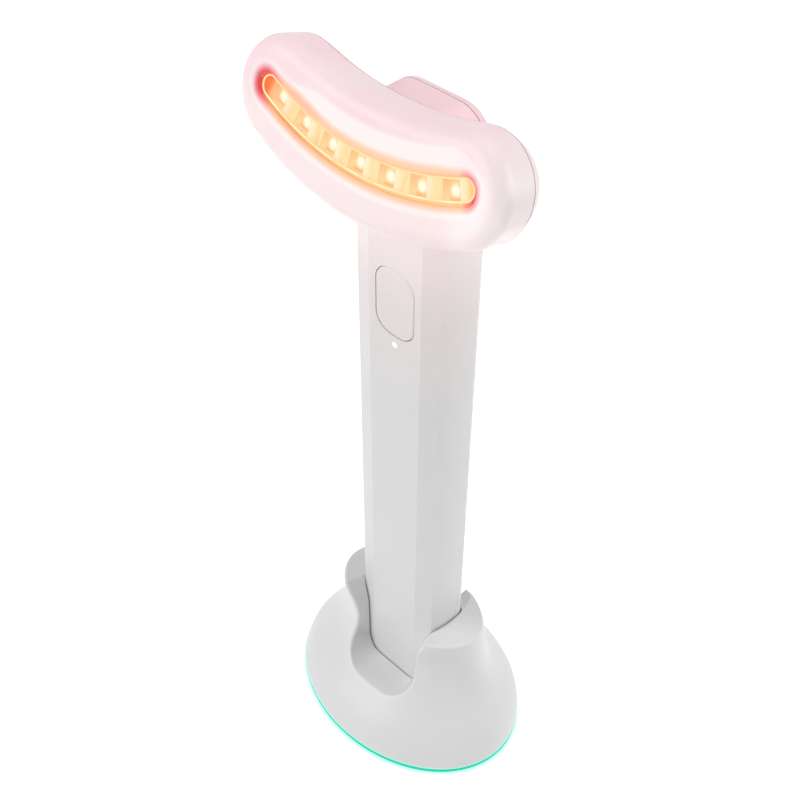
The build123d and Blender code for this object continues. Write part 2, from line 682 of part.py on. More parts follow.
carrier_top = WELL_BASE + WELL_FLOOR - FIT
with BuildPart() as pin_carrier:
    with BuildSketch(Plane.XY.offset(DOCK_BOARD_TOP)):
        with Locations((0, GRIP_Y)):
            Rectangle(CARRIER_LENGTH, CARRIER_WIDTH)
    extrude(amount=carrier_top - DOCK_BOARD_TOP)
    chamfer(pin_carrier.faces().sort_by(Axis.Z)[-1].edges(), FIT)
    with BuildSketch(Plane.XY.offset(DOCK_BOARD_TOP)):
        with Locations((-CONTACT_X, GRIP_Y), (CONTACT_X, GRIP_Y)):
            Circle(PIN_FLANGE_R + SLIDE_GAP)
    extrude(amount=PIN_POCKET, mode=Mode.SUBTRACT)
    with BuildSketch(Plane.XY.offset(DOCK_BOARD_TOP)):
        with Locations((-CONTACT_X, GRIP_Y), (CONTACT_X, GRIP_Y)):
            Circle(PIN_R + SLIDE_GAP)
    extrude(amount=ABOVE_ALL, mode=Mode.SUBTRACT)
save(pin_carrier, "pin_carrier")

pin_bottom = DOCK_BOARD_TOP + PIN_TRAVEL + TOUCH
pin_top = WAND_BOTTOM - TOUCH
for side, name in ((-1, "charge_pin_left"), (1, "charge_pin_right")):
    with BuildPart() as charge_pin:
        with BuildSketch(Plane.XY.offset(pin_bottom)):
            with Locations((side * CONTACT_X, GRIP_Y)):
                Circle(PIN_FLANGE_R)
        extrude(amount=PIN_FLANGE)
        with BuildSketch(Plane.XY.offset(pin_bottom)):
            with Locations((side * CONTACT_X, GRIP_Y)):
                Circle(PIN_R)
        extrude(amount=pin_top - pin_bottom)
        fillet(charge_pin.edges().sort_by(Axis.Z)[-1], PIN_TIP_ROUND)
    save(charge_pin, name)

usb_centre_z = DOCK_BOARD_TOP + USB_HEIGHT / 2
with BuildPart() as usb_inlet:
    with BuildSketch(facing_front(USB_MOUTH_Y)):
        with Locations((0, usb_centre_z)):
            SlotOverall(USB_WIDTH, USB_HEIGHT)
    extrude(amount=USB_LENGTH)
    with BuildSketch(facing_front(USB_MOUTH_Y)):
        with Locations((0, usb_centre_z)):
            SlotOverall(USB_WIDTH - 2 * USB_WALL, USB_HEIGHT - 2 * USB_WALL)
    extrude(amount=USB_LENGTH - USB_WALL, mode=Mode.SUBTRACT)
    with BuildSketch(facing_front(USB_MOUTH_Y - USB_LENGTH)):
        with Locations((0, usb_centre_z)):
            Rectangle(USB_TONGUE[0], USB_TONGUE[1])
    extrude(amount=-USB_TONGUE[2])
save(usb_inlet, "usb_inlet")

# Wand housing: the grip's tube with the neck and the block behind the head
with BuildPart() as neck:
    with BuildSketch(Plane.YZ):
        low_point = side_point(NECK_LOW_V, -HEAD_DEPTH)
        high_point = side_point(LOBE_V, -HEAD_DEPTH)
        with BuildLine():
            TangentArc((FRONT_Y, NECK_START), low_point, tangent=(0, 1))
            Polyline(
                low_point,
                high_point,
                (GRIP_Y, high_point[1]),
                (GRIP_Y, NECK_START),
                (FRONT_Y, NECK_START),
            )
        make_face()
    extrude(amount=NECK_HALF_WIDTH, both=True)

with BuildPart() as wand_housing:
    with BuildSketch(Plane.XY.offset(HOUSING_BOTTOM)):
        add(grip_outline())
    extrude(amount=WAND_TOP - HOUSING_BOTTOM)
    with BuildSketch(facing_front(BACK_Y)):
        add(block_outline(bottom=HOUSING_BOTTOM))
    extrude(amount=GRIP_BACK + GRIP_FRONT, mode=Mode.INTERSECT)
    add(neck.part)
    # Room for the head, and the open back of the block
    with BuildSketch(face_plane.offset(-HEAD_DEPTH)):
        Rectangle(3 * LOBE_X, 3 * LOBE_X)
    extrude(amount=LOBE_X, mode=Mode.SUBTRACT)
    with BuildSketch(facing_front(BACK_Y)):
        with Locations((0, BLOCK_BOTTOM + WAND_TOP / 2)):
            Rectangle(3 * GRIP_HALF_WIDTH, WAND_TOP)
    extrude(amount=BLOCK_CAP_DEPTH, mode=Mode.SUBTRACT)
    with BuildSketch(facing_front(BLOCK_SEAM_Y)):
        add(block_outline(inset=BLOCK_WALL, bottom=BLOCK_FLOOR))
    extrude(amount=BLOCK_SEAM_Y - FRONT_Y - BLOCK_FRONT_WALL, mode=Mode.SUBTRACT)
    # Main hollow and the opening for the back cover
    with BuildSketch(Plane.XY.offset(HOUSING_BOTTOM)):
        add(grip_outline(-GRIP_WALL))
    extrude(amount=COVER_TOP - HOUSING_BOTTOM, mode=Mode.SUBTRACT)
    with BuildSketch(facing_front(BACK_Y)):
        with Locations((0, (COVER_BOTTOM + COVER_TOP) / 2)):
            RectangleRounded(
                2 * (COVER_HALF_WIDTH + FIT), COVER_TOP - COVER_BOTTOM, COVER_CORNER_R
            )
    extrude(amount=GRIP_WALL, mode=Mode.SUBTRACT)
    # Bosses for the cover screws and posts for the circuit board
    with BuildSketch(facing_front(BACK_Y - GRIP_WALL)):
        with Locations([(0, height) for height in COVER_SCREW_HEIGHTS]):
            Circle(SCREW_BOSS_R)
    extrude(amount=GRIP_FRONT + GRIP_BACK - 1.5 * GRIP_WALL)
    with BuildSketch(facing_front(GRIP_Y - BOARD_FRONT)):
        with Locations(BOARD_POSTS):
            Circle(POST_R)
    extrude(amount=GRIP_FRONT - BOARD_FRONT - GRIP_WALL / 2)
    with BuildSketch(facing_front(BACK_Y)):
        with Locations([(0, height) for height in COVER_SCREW_HEIGHTS]):
            Circle(SCREW_R)
    extrude(amount=COVER_SCREW_LENGTH, mode=Mode.SUBTRACT)
    with BuildSketch(facing_front(GRIP_Y - BOARD_FRONT)):
        with Locations(BOARD_POSTS):
            Circle(SCREW_R)
    extrude(amount=BOARD_SCREW_LENGTH - BOARD_THICKNESS, mode=Mode.SUBTRACT)
    # Button opening and the hole of the status light
    with BuildSketch(facing_front(FRONT_Y)):
        add(button_outline(BUTTON_GAP))
        with Locations((0, LIGHT_Z)):
            Circle(LIGHT_R)
    extrude(amount=-GRIP_WALL, mode=Mode.SUBTRACT)
    # Way for the ribbon: up into the block, then forward into the head
    with BuildSketch(Plane.XY.offset(COVER_TOP - RIBBON_ROOM)):
        with Locations((RIBBON_X, GRIP_Y - BOARD_FRONT + BOARD_THICKNESS)):
            Rectangle(RIBBON_WIDTH + 2 * RIBBON_ROOM, 4 * RIBBON_ROOM)
    extrude(amount=BLOCK_FLOOR - COVER_TOP + 2 * RIBBON_ROOM, mode=Mode.SUBTRACT)
    with BuildSketch(face_plane.offset(-HEAD_DEPTH)):
        with Locations((RIBBON_X, RIBBON_V)):
            Rectangle(RIBBON_WIDTH + 2 * RIBBON_ROOM, 2 * RIBBON_ROOM + RIBBON_THICKNESS)
    extrude(amount=-RIBBON_WAY, mode=Mode.SUBTRACT)
    with BuildSketch(face_plane.offset(-HEAD_DEPTH)):
        with Locations((-HEAD_SCREW_X, HEAD_SCREW_V), (HEAD_SCREW_X, HEAD_SCREW_V)):
            Circle(SCREW_R)
    extrude(amount=-(HEAD_SCREW_LENGTH - BACK_WALL), mode=Mode.SUBTRACT)
save(wand_housing, "wand_housing")

with BuildPart() as back_cover:
    with BuildSketch(facing_front(BACK_Y)):
        with Locations((0, (COVER_BOTTOM + COVER_TOP) / 2)):
            RectangleRounded(
                2 * COVER_HALF_WIDTH, COVER_TOP - COVER_BOTTOM - 2 * FIT, COVER_CORNER_R
            )
    extrude(amount=GRIP_WALL)
    for height in COVER_SCREW_HEIGHTS:
        with Locations(Plane(origin=(0, BACK_Y, height), z_dir=(0, 1, 0))):
            CounterSinkHole(SCREW_R + FIT, SCREW_HEAD_R + FIT)
save(back_cover, "back_cover")

cover_screw_set = [
    screw(Plane(origin=(0, BACK_Y, height), z_dir=(0, 1, 0)), COVER_SCREW_LENGTH)
    for height in COVER_SCREW_HEIGHTS
]
with BuildPart() as cover_screws:
    add(cover_screw_set)
save(cover_screws, "cover_screws")

# Cap that closes the block, round on its outer edges
with BuildPart() as block_cap:
    with BuildSketch(facing_front(BACK_Y)):
        add(block_outline(bottom=BLOCK_BOTTOM + SEAM))
    extrude(amount=BLOCK_CAP_DEPTH - SEAM)
    rear_edges = block_cap.faces().sort_by(Axis.Y)[-1].edges()
    fillet(rear_edges.sort_by(Axis.Z)[1:], BLOCK_CAP_ROUND)
    with BuildSketch(Plane.XY.offset(BLOCK_BOTTOM)):
        add(grip_outline())
    extrude(amount=BLOCK_HEIGHT, mode=Mode.INTERSECT)
    with BuildSketch(facing_front(BLOCK_SEAM_Y + SEAM)):
        add(block_outline(inset=BLOCK_WALL + FIT, bottom=BLOCK_FLOOR + FIT))
        add(
            block_outline(inset=BLOCK_WALL + FIT + LIP_WALL, bottom=BLOCK_FLOOR + FIT + LIP_WALL),
            mode=Mode.SUBTRACT,
        )
    extrude(amount=LIP_REACH + SEAM)
save(block_cap, "block_cap")

with BuildPart() as vibration_motor:
    with BuildSketch(facing_front(FRONT_Y + BLOCK_FRONT_WALL)):
        with Locations((MOTOR_X, MOTOR_Z)):
            Circle(MOTOR_R)
    extrude(amount=-MOTOR_THICKNESS)
    fillet(vibration_motor.faces().sort_by(Axis.Y)[-1].edges(), MOTOR_ROUND)
save(vibration_motor, "vibration_motor")

# Head front: crescent shell with a pillowed face and the emitter slot
with BuildPart() as head_front:
    with BuildSketch(face_plane.offset(-FACE_SEAM + SEAM / 2)):
        add(head_outline())
    extrude(amount=FACE_SEAM - SEAM / 2 + FACE_PROUD)
    fillet(head_front.faces().sort_by(face_axis)[-1].edges(), FACE_ROUND)
    with BuildSketch(face_plane.offset(FACE_IN)):
        add(head_outline(HEAD_RIM_WALL))
    extrude(amount=-FACE_SEAM, mode=Mode.SUBTRACT)
    with BuildSketch(face_plane.offset(FACE_PROUD)):
        add(emitter_band(SLOT_WIDTH))
    extrude(amount=-FACE_WALL, mode=Mode.SUBTRACT)
    outer_face = head_front.faces().sort_by(face_axis)[-1]
    chamfer(outer_face.inner_wires()[0].edges(), SLOT_BEVEL)
save(head_front, "head_front")

with BuildPart() as head_back:
    with BuildSketch(face_plane.offset(-FACE_SEAM - SEAM / 2)):
        add(head_outline())
    with BuildSketch(face_plane.offset(-HEAD_DEPTH)):
        add(head_outline(BACK_INSET))
    loft(ruled=True)
    fillet(head_back.faces().sort_by(face_axis)[0].edges(), BACK_ROUND)
    with BuildSketch(face_plane.offset(-FACE_SEAM - SEAM / 2)):
        add(head_outline(HEAD_RIM_WALL + FIT + LIP_WALL))
    extrude(amount=-(HEAD_DEPTH - FACE_SEAM - SEAM / 2 - BACK_WALL), mode=Mode.SUBTRACT)
    with BuildSketch(face_plane.offset(-FACE_SEAM - SEAM)):
        add(head_outline(HEAD_RIM_WALL + FIT))
        add(head_outline(HEAD_RIM_WALL + FIT + LIP_WALL), mode=Mode.SUBTRACT)
    extrude(amount=LIP_REACH + SEAM)
    with BuildSketch(face_plane.offset(-HEAD_DEPTH)):
        with Locations((RIBBON_X, RIBBON_V)):
            Rectangle(RIBBON_WIDTH + 2 * RIBBON_ROOM, 2 * RIBBON_ROOM + RIBBON_THICKNESS)
        with Locations((-HEAD_SCREW_X, HEAD_SCREW_V), (HEAD_SCREW_X, HEAD_SCREW_V)):
            Circle(SCREW_R + FIT)
    extrude(amount=BACK_WALL, mode=Mode.SUBTRACT)
save(head_back, "head_back")

head_screw_set = [
    pan_screw(
        Plane(
            face_plane.from_local_coords((x, HEAD_SCREW_V, BACK_WALL - HEAD_DEPTH)),
            z_dir=face_plane.z_dir,
        ),
        HEAD_SCREW_LENGTH,
    )
    for x in (-HEAD_SCREW_X, HEAD_SCREW_X)
]
with BuildPart() as head_screws:
    add(head_screw_set)
save(head_screws, "head_screws")

# Emitter window, reflector with its cells, board and emitters
with BuildPart() as led_window:
    with BuildSketch(face_plane.offset(WINDOW_BACK)):
        add(emitter_band(SLOT_WIDTH - 2 * WINDOW_GAP))
    extrude(amount=WINDOW_THICKNESS)
save(led_window, "led_window")

with BuildPart() as led_reflector:
    with BuildSketch(face_plane.offset(-LED_HEIGHT)):
        add(emitter_band(REFLECTOR_FLANGE_WIDTH))
    extrude(amount=REFLECTOR_FLANGE)
    with BuildSketch(face_plane.offset(-LED_HEIGHT)):
        add(emitter_band(SLOT_WIDTH - 2 * WINDOW_GAP))
    extrude(amount=WINDOW_BACK + LED_HEIGHT)
    with BuildSketch(face_plane.offset(-LED_HEIGHT)):
        with Locations(emitter_places()):
            Rectangle(POCKET_LENGTH, POCKET_WIDTH)
    extrude(amount=WINDOW_BACK + LED_HEIGHT, mode=Mode.SUBTRACT)
save(led_reflector, "led_reflector")

with BuildPart() as led_board:
    with BuildSketch(face_plane.offset(-LED_HEIGHT)):
        add(emitter_band(LED_BOARD_WIDTH))
    extrude(amount=-LED_BOARD_THICKNESS)
save(led_board, "led_board")

with BuildPart() as led_emitters:
    with BuildSketch(face_plane.offset(-LED_HEIGHT)):
        with Locations(emitter_places()):
            Rectangle(LED_SIZE, LED_SIZE)
    extrude(amount=LED_HEIGHT)
save(led_emitters, "led_emitters")

# Circuit board of the wand with its parts, and the ribbon to the head
board_y = GRIP_Y - BOARD_FRONT
with BuildPart() as main_board:
    with BuildSketch(facing_front(board_y)):
        with Locations((0, (BOARD_BOTTOM + BOARD_TOP) / 2)):
            Rectangle(2 * BOARD_HALF_WIDTH, BOARD_TOP - BOARD_BOTTOM)
        with Locations(BOARD_POSTS):
            Circle(SCREW_R + FIT, mode=Mode.SUBTRACT)
    extrude(amount=-BOARD_THICKNESS)
save(main_board, "main_board")

board_back_y = board_y + BOARD_THICKNESS
light_led_depth = GRIP_FRONT - BOARD_FRONT - LED_HEIGHT
with BuildPart() as board_components:
    with BuildSketch(facing_front(board_back_y)):
        with Locations((0, BOARD_BOTTOM + MAIN_CHIP_RISE)):
            Rectangle(MAIN_CHIP, MAIN_CHIP)
        small_chip_z = BOARD_BOTTOM + SMALL_CHIP_RISE
        with Locations((-SMALL_CHIP_X, small_chip_z), (SMALL_CHIP_X, small_chip_z)):
            Rectangle(*SMALL_CHIP)
        with Locations((RIBBON_X, BOARD_TOP - CONNECTOR_DROP)):
            Rectangle(RIBBON_WIDTH + RIBBON_ROOM, CONNECTOR_HEIGHT)
    extrude(amount=-CHIP_HEIGHT)
    with BuildSketch(facing_front(board_back_y)):
        with Locations((COIL_X, BOARD_BOTTOM + COIL_RISE)):
            Circle(COIL_R)
        with Locations((0, BOARD_BOTTOM + SOCKET_RISE)):
            Rectangle(*SOCKET_SIZE)
    extrude(amount=-TALL_PART_HEIGHT)
    with BuildSketch(facing_front(board_y)):
        with Locations((0, LIGHT_Z)):
            Rectangle(*STATUS_LED)
    extrude(amount=LED_HEIGHT)
save(board_components, "board_components")

board_screw_set = [
    pan_screw(Plane(origin=(x, board_back_y, z), z_dir=(0, 1, 0)), BOARD_SCREW_LENGTH)
    for x, z in BOARD_POSTS
]
with BuildPart() as wand_board_screws:
    add(board_screw_set)
save(wand_board_screws, "wand_board_screws")

ribbon_y = board_back_y + CHIP_HEIGHT / 2
ribbon_in = side_point(RIBBON_V, -HEAD_DEPTH)
ribbon_turn_z = ribbon_in[1] - (ribbon_y - ribbon_in[0]) * sin(FACE_TILT) / cos(FACE_TILT)
with BuildPart() as head_ribbon:
    with BuildSketch(Plane.YZ.offset(RIBBON_X - RIBBON_WIDTH / 2)):
        with BuildLine():
            FilletPolyline(
                (ribbon_y, BOARD_TOP - RIBBON_START),
                (ribbon_y, ribbon_turn_z),
                side_point(RIBBON_V, -LED_HEIGHT - LED_BOARD_THICKNESS),
                radius=RIBBON_TURN_R,
            )
        trace(line_width=RIBBON_THICKNESS)
    extrude(amount=RIBBON_WIDTH)
save(head_ribbon, "head_ribbon")

# Power button with its switch, and the status light's pipe
with BuildPart() as power_button:
    with BuildSketch(facing_front(FRONT_Y)):
        add(button_outline())
    extrude(amount=-(GRIP_WALL + TOUCH + BUTTON_FLANGE))
    fillet(power_button.faces().sort_by(Axis.Y)[0].edges(), BUTTON_EDGE)
    with BuildSketch(facing_front(FRONT_Y + GRIP_WALL + TOUCH)):
        add(button_outline(BUTTON_FLANGE_WIDTH))
    extrude(amount=-BUTTON_FLANGE)
save(power_button, "power_button")

plunger_y = FRONT_Y + GRIP_WALL + TOUCH + BUTTON_FLANGE
with BuildPart() as switch_plunger:
    with BuildSketch(facing_front(plunger_y)):
        with Locations((0, BUTTON_Z)):
            Circle(PLUNGER_R)
    extrude(amount=-PLUNGER_LENGTH)
save(switch_plunger, "switch_plunger")

with BuildPart() as power_switch:
    with BuildSketch(facing_front(board_y)):
        with Locations((0, BUTTON_Z)):
            RectangleRounded(SWITCH_SIZE, SWITCH_SIZE, SWITCH_CORNER_R)
    extrude(amount=SWITCH_HEIGHT)
    bore_depth = plunger_y + PLUNGER_LENGTH + BUTTON_TRAVEL + TOUCH - (board_y - SWITCH_HEIGHT)
    with BuildSketch(facing_front(board_y - SWITCH_HEIGHT)):
        with Locations((0, BUTTON_Z)):
            Circle(PLUNGER_R + SLIDE_GAP)
    extrude(amount=-bore_depth, mode=Mode.SUBTRACT)
save(power_switch, "power_switch")

with BuildPart() as status_light_pipe:
    with BuildSketch(facing_front(FRONT_Y)):
        with Locations((0, LIGHT_Z)):
            Circle(LIGHT_R)
    extrude(amount=-light_led_depth)
    with BuildSketch(facing_front(FRONT_Y + GRIP_WALL)):
        with Locations((0, LIGHT_Z)):
            Circle(LIGHT_COLLAR_R)
    extrude(amount=-LIGHT_COLLAR_R)
save(status_light_pipe, "status_light_pipe")

# Battery with its foam pads, and the leads up from the contacts
battery_front_y = GRIP_Y - BATTERY_FRONT
with BuildPart() as battery_pack:
    with BuildSketch(Plane.XY.offset(BATTERY_BOTTOM)):
        with Locations((0, battery_front_y + BATTERY_DEPTH / 2)):
            RectangleRounded(BATTERY_WIDTH, BATTERY_DEPTH, BATTERY_ROUND)
    extrude(amount=BATTERY_TOP - BATTERY_BOTTOM)
    fillet(battery_pack.edges().group_by(Axis.Z)[-1], BATTERY_EDGE)
    fillet(battery_pack.edges().group_by(Axis.Z)[0], BATTERY_EDGE)
save(battery_pack, "battery_pack")

with BuildPart() as battery_pads:
    with BuildSketch(facing_front(battery_front_y)):
        with Locations((0, BATTERY_BOTTOM + PAD_INSET), (0, BATTERY_TOP - PAD_INSET)):
            Rectangle(PAD_WIDTH, PAD_HEIGHT)
    extrude(amount=GRIP_FRONT - BATTERY_FRONT - GRIP_WALL)
save(battery_pads, "battery_pads")

contact_top = WAND_BOTTOM + CONTACT_STEP + CONTACT_THICKNESS
tail_top = HOUSING_BOTTOM + CAP_PLUG + LEAD_R
lead_y = board_back_y + LEAD_R
lead_paths = []
for side in (-1, 1):
    path = FilletPolyline(
        (side * CONTACT_X, lead_y, tail_top),
        (side * CONTACT_X, lead_y, tail_top + LEAD_BEND),
        (side * LEAD_X, lead_y, tail_top + 2 * LEAD_BEND),
        (side * LEAD_X, lead_y, BOARD_BOTTOM - 2 * LEAD_BEND),
        (side * (BOARD_HALF_WIDTH - LEAD_R), lead_y, BOARD_BOTTOM),
        (side * (BOARD_HALF_WIDTH - LEAD_R), lead_y, BOARD_BOTTOM + LEAD_BEND),
        radius=LEAD_TURN_R,
    )
    lead_paths.append(path)
with BuildPart() as charge_leads:
    for path in lead_paths:
        with BuildSketch(Plane(path @ 0, z_dir=path % 0)):
            Circle(LEAD_R)
        sweep(path=path)
save(charge_leads, "charge_leads")

# End cap with its seal and the two charging contacts
with BuildPart() as end_cap:
    with BuildSketch(Plane.XY.offset(WAND_BOTTOM)):
        add(grip_outline())
    extrude(amount=CAP_THICKNESS)
    chamfer(end_cap.faces().sort_by(Axis.Z)[0].edges(), CAP_EDGE)
    with BuildSketch(Plane.XY.offset(HOUSING_BOTTOM)):
        add(grip_outline(-GRIP_WALL - FIT))
        add(grip_outline(-2 * GRIP_WALL), mode=Mode.SUBTRACT)
    extrude(amount=CAP_PLUG)
    with BuildSketch(Plane.XY.offset(WAND_BOTTOM)):
        with Locations((-CONTACT_X, GRIP_Y), (CONTACT_X, GRIP_Y)):
            Circle(CONTACT_R)
    extrude(amount=CAP_THICKNESS, mode=Mode.SUBTRACT)
    with BuildSketch(Plane.XY.offset(WAND_BOTTOM + CONTACT_STEP)):
        with Locations((-CONTACT_X, GRIP_Y), (CONTACT_X, GRIP_Y)):
            Circle(CONTACT_R + CONTACT_EDGE)
    extrude(amount=CAP_THICKNESS, mode=Mode.SUBTRACT)
save(end_cap, "end_cap")

with BuildPart() as charge_contacts:
    with BuildSketch(Plane.XY.offset(WAND_BOTTOM)):
        with Locations((-CONTACT_X, GRIP_Y), (CONTACT_X, GRIP_Y)):
            Circle(CONTACT_R - FIT)
    extrude(amount=CONTACT_STEP)
    with BuildSketch(Plane.XY.offset(WAND_BOTTOM + CONTACT_STEP)):
        with Locations((-CONTACT_X, GRIP_Y), (CONTACT_X, GRIP_Y)):
            Circle(CONTACT_R + CONTACT_EDGE - FIT)
    extrude(amount=CONTACT_THICKNESS)
    with BuildSketch(Plane.XY.offset(contact_top)):
        with Locations((-CONTACT_X, lead_y), (CONTACT_X, lead_y)):
            Circle(LEAD_R)
    extrude(amount=tail_top - contact_top)
save(charge_contacts, "charge_contacts")

with BuildPart() as end_cap_seal:
    with BuildSketch(Plane.XY.offset(HOUSING_BOTTOM)):
        add(grip_outline(-2 * GRIP_WALL))
        add(grip_outline(-2.5 * GRIP_WALL), mode=Mode.SUBTRACT)
    extrude(amount=CAP_PLUG / 2)
save(end_cap_seal, "end_cap_seal")
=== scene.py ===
import json
from collections import namedtuple
from math import cos, pi, radians, sin

import bmesh
import bpy
from mathutils import Matrix, Vector


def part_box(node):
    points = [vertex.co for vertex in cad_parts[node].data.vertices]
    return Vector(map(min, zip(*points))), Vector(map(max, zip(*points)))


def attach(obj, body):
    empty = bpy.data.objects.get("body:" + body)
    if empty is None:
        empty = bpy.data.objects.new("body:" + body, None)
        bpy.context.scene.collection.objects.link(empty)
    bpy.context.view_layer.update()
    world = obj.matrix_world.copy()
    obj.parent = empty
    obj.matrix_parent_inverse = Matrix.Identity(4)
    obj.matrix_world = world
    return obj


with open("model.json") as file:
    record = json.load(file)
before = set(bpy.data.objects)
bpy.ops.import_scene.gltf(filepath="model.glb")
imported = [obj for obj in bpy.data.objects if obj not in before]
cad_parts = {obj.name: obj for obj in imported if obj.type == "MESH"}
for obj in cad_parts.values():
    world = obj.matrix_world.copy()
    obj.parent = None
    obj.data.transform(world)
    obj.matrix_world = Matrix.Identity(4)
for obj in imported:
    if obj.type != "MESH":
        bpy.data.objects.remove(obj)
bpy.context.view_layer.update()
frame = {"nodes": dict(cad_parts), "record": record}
nodes = frame["nodes"]

MM = 0.001
RIGHT = Vector((1.0, 0.0, 0.0))
UP = Vector((0.0, 0.0, 1.0))

# Head plane and emitter row
HEAD_TILT = radians(18.9)
HEAD_ORIGIN = Vector((0.0, -15.9, 193.6)) * MM
UP_FACE = Vector((0.0, sin(HEAD_TILT), cos(HEAD_TILT)))
OUT_FACE = Vector((0.0, -cos(HEAD_TILT), sin(HEAD_TILT)))
ARC_R = 65.3 * MM
ARC_HALF = 27.2 * MM / ARC_R
LED_PITCH = 7.92 * MM
LEDS_EACH_SIDE = 3.0


def linear(r, g, b):
    """Colour on the screen's scale of 0 to 255, made linear and opaque."""
    out = []
    for c in (r, g, b):
        c /= 255
        out.append(c / 12.92 if c <= 0.04045 else ((c + 0.055) / 1.055) ** 2.4)
    return (*out, 1.0)


# Colours of the housings, matched to the photograph
GRIP_WHITE = linear(233, 232, 232)
# The pinks and the rose below are painted light: the head's red light glowing in the plastic
GRIP_PINK = linear(255, 238, 238)
BLOCK_ROSE = linear(254, 216, 221)
HEAD_PALE = linear(255, 231, 234)
HEAD_PINK = linear(255, 222, 229)
HEAD_GREY = linear(243, 233, 233)
DOCK_WHITE = linear(238, 238, 238)

# Colours of the slot's light on the head's face
HALO_PALE = linear(255, 243, 241)
GLOW_SIDE = linear(252, 198, 158)
GLOW_LEFT = linear(253, 184, 148)
GLOW_END = linear(230, 92, 110)

# Colours of the lit cells, the emitters and the painted highlight tube round the window
LAND_CREAM = linear(253, 237, 212)
LAND_PEACH = linear(254, 225, 178)
LAND_LOW = linear(246, 205, 155)
RIGHT_END_ORANGE = linear(252, 180, 110)
LEFT_END_ORANGE = linear(246, 120, 60)
MARGIN_PEACH = linear(252, 204, 160)
BORDER_BROWN = linear(226, 174, 122)
POCKET = linear(248, 203, 153)
POCKET_LOW = linear(245, 188, 134)
SPOT_EDGE = linear(253, 218, 177)
SPOT_CREAM = linear(255, 243, 219)
SPOT_WHITE = linear(255, 255, 248)
EDGE_HIGHLIGHT_GOLD = linear(253, 222, 158)
EDGE_HIGHLIGHT_PALE = linear(254, 234, 188)
EDGE_HIGHLIGHT_HIGH_SIDE = linear(251, 211, 156)

# Colours of the dock's ring, and of the unlit bodies of pieces that glow
RING_TEAL = linear(14, 204, 166)
RING_PALE = linear(165, 250, 240)
RING_DARK = linear(4, 40, 32)
CELL_DARK = linear(40, 20, 10)
EDGE_HIGHLIGHT_DARK = linear(60, 40, 16)

# Colours of the clear pieces, the boards and the studio
WINDOW_GLOSS = linear(255, 226, 190)
WINDOW_CLEAR = (1.0, 0.97, 0.92, 1.0)
STATUS_WHITE = linear(250, 250, 250)
PLUNGER_WHITE = linear(235, 235, 235)
MASK_GREEN = linear(22, 84, 44)
TRACE_GREEN = linear(60, 130, 70)
PAPER_WHITE = (0.93, 0.93, 0.93, 1.0)
WHITE = (1.0, 1.0, 1.0, 1.0)


class Tree:
    """Short calls that build a node tree. Each call for a node returns its output."""

    def __init__(self, tree):
        self.tree = tree

    def node(self, kind, **values):
        """New node itself, with its settings."""
        made = self.tree.nodes.new(kind)
        for key, value in values.items():
            setattr(made, key, value)
        return made

    def link(self, output, socket):
        self.tree.links.new(output, socket)

    def put(self, value, socket):
        """Link the value to the socket where it is an output, or else set it there."""
        if isinstance(value, bpy.types.NodeSocket):
            self.link(value, socket)
        else:
            socket.default_value = value

    def math(self, operation, *values):
        made = self.node("ShaderNodeMath", operation=operation)
        for value, socket in zip(values, made.inputs):
            self.put(value, socket)
        return made.outputs[0]

    def minus(self, a, b):
        return self.math("SUBTRACT", a, b)

    def times(self, first, *others):
        """Product of all the values."""
        for other in others:
            first = self.math("MULTIPLY", first, other)
        return first

    def largest(self, first, *others):
        for other in others:
            first = self.math("MAXIMUM", first, other)
        return first

    def held(self, value, limit):
        """The value, held between minus and plus the limit."""
        return self.largest(self.math("MINIMUM", value, limit), -limit)

    def hypotenuse(self, a, b):
        return self.math("SQRT", self.math("ADD", self.times(a, a), self.times(b, b)))

    def vector_math(self, operation, *vectors):
        """Node itself, as its output depends on the operation."""
        made = self.node("ShaderNodeVectorMath", operation=operation)
        for vector, socket in zip(vectors, made.inputs):
            self.put(vector, socket)
        return made

    def dot(self, vector, direction):
        return self.vector_math("DOT_PRODUCT", vector, direction).outputs["Value"]

    def length(self, vector):
        return self.vector_math("LENGTH", vector).outputs["Value"]

    def scaled(self, vector, scale):
        made = self.node("ShaderNodeMapping")
        self.link(vector, made.inputs["Vector"])
        made.inputs["Scale"].default_value = scale
        return made.outputs["Vector"]

    def noise(self, place, scale, detail=2.0):
        made = self.node("ShaderNodeTexNoise")
        self.link(place, made.inputs["Vector"])
        made.inputs["Scale"].default_value = scale
        made.inputs["Detail"].default_value = detail
        return made.outputs["Fac"]

    def fade(self, value, low, high, before=0.0, after=1.0):
        """Smooth change from one number at low to another at high."""
        made = self.node("ShaderNodeMapRange", interpolation_type="SMOOTHSTEP")
        self.link(value, made.inputs["Value"])
        made.inputs["From Min"].default_value = low
        made.inputs["From Max"].default_value = high
        made.inputs["To Min"].default_value = before
        made.inputs["To Max"].default_value = after
        return made.outputs["Result"]

    def span(self, value, limits):
        """Fade over a span: first and last place in mm, and the numbers if not 0 and 1."""
        low, high, *numbers = limits
        return self.fade(value, low * MM, high * MM, *numbers)

    def between(self, factor, a, b):
        """Smooth change from a to b as the factor goes from 0 to 1."""
        return self.fade(factor, 0.0, 1.0, a, b)

    def mix(self, factor, a, b, blend="MIX"):
        """Mix of two colours, which are the node's inputs 6 and 7 and its output 2."""
        made = self.node("ShaderNodeMix", data_type="RGBA", blend_type=blend)
        for value, index in ((factor, 0), (a, 6), (b, 7)):
            self.put(value, made.inputs[index])
        return made.outputs[2]

    def ramp(self, value, stops):
        made = self.node("ShaderNodeValToRGB")
        self.link(value, made.inputs[0])
        ramp = made.color_ramp
        ramp.interpolation = "EASE"
        while len(ramp.elements) < len(stops):
            ramp.elements.new(0.5)
        for element, (place, colour) in zip(ramp.elements, stops):
            element.position = place
            element.color = colour
        return made.outputs["Color"]


def new_material(name):
    """New material, its tree and its shader."""
    material = bpy.data.materials.new(name)
    material.use_nodes = True
    return material, Tree(material.node_tree), material.node_tree.nodes["Principled BSDF"]


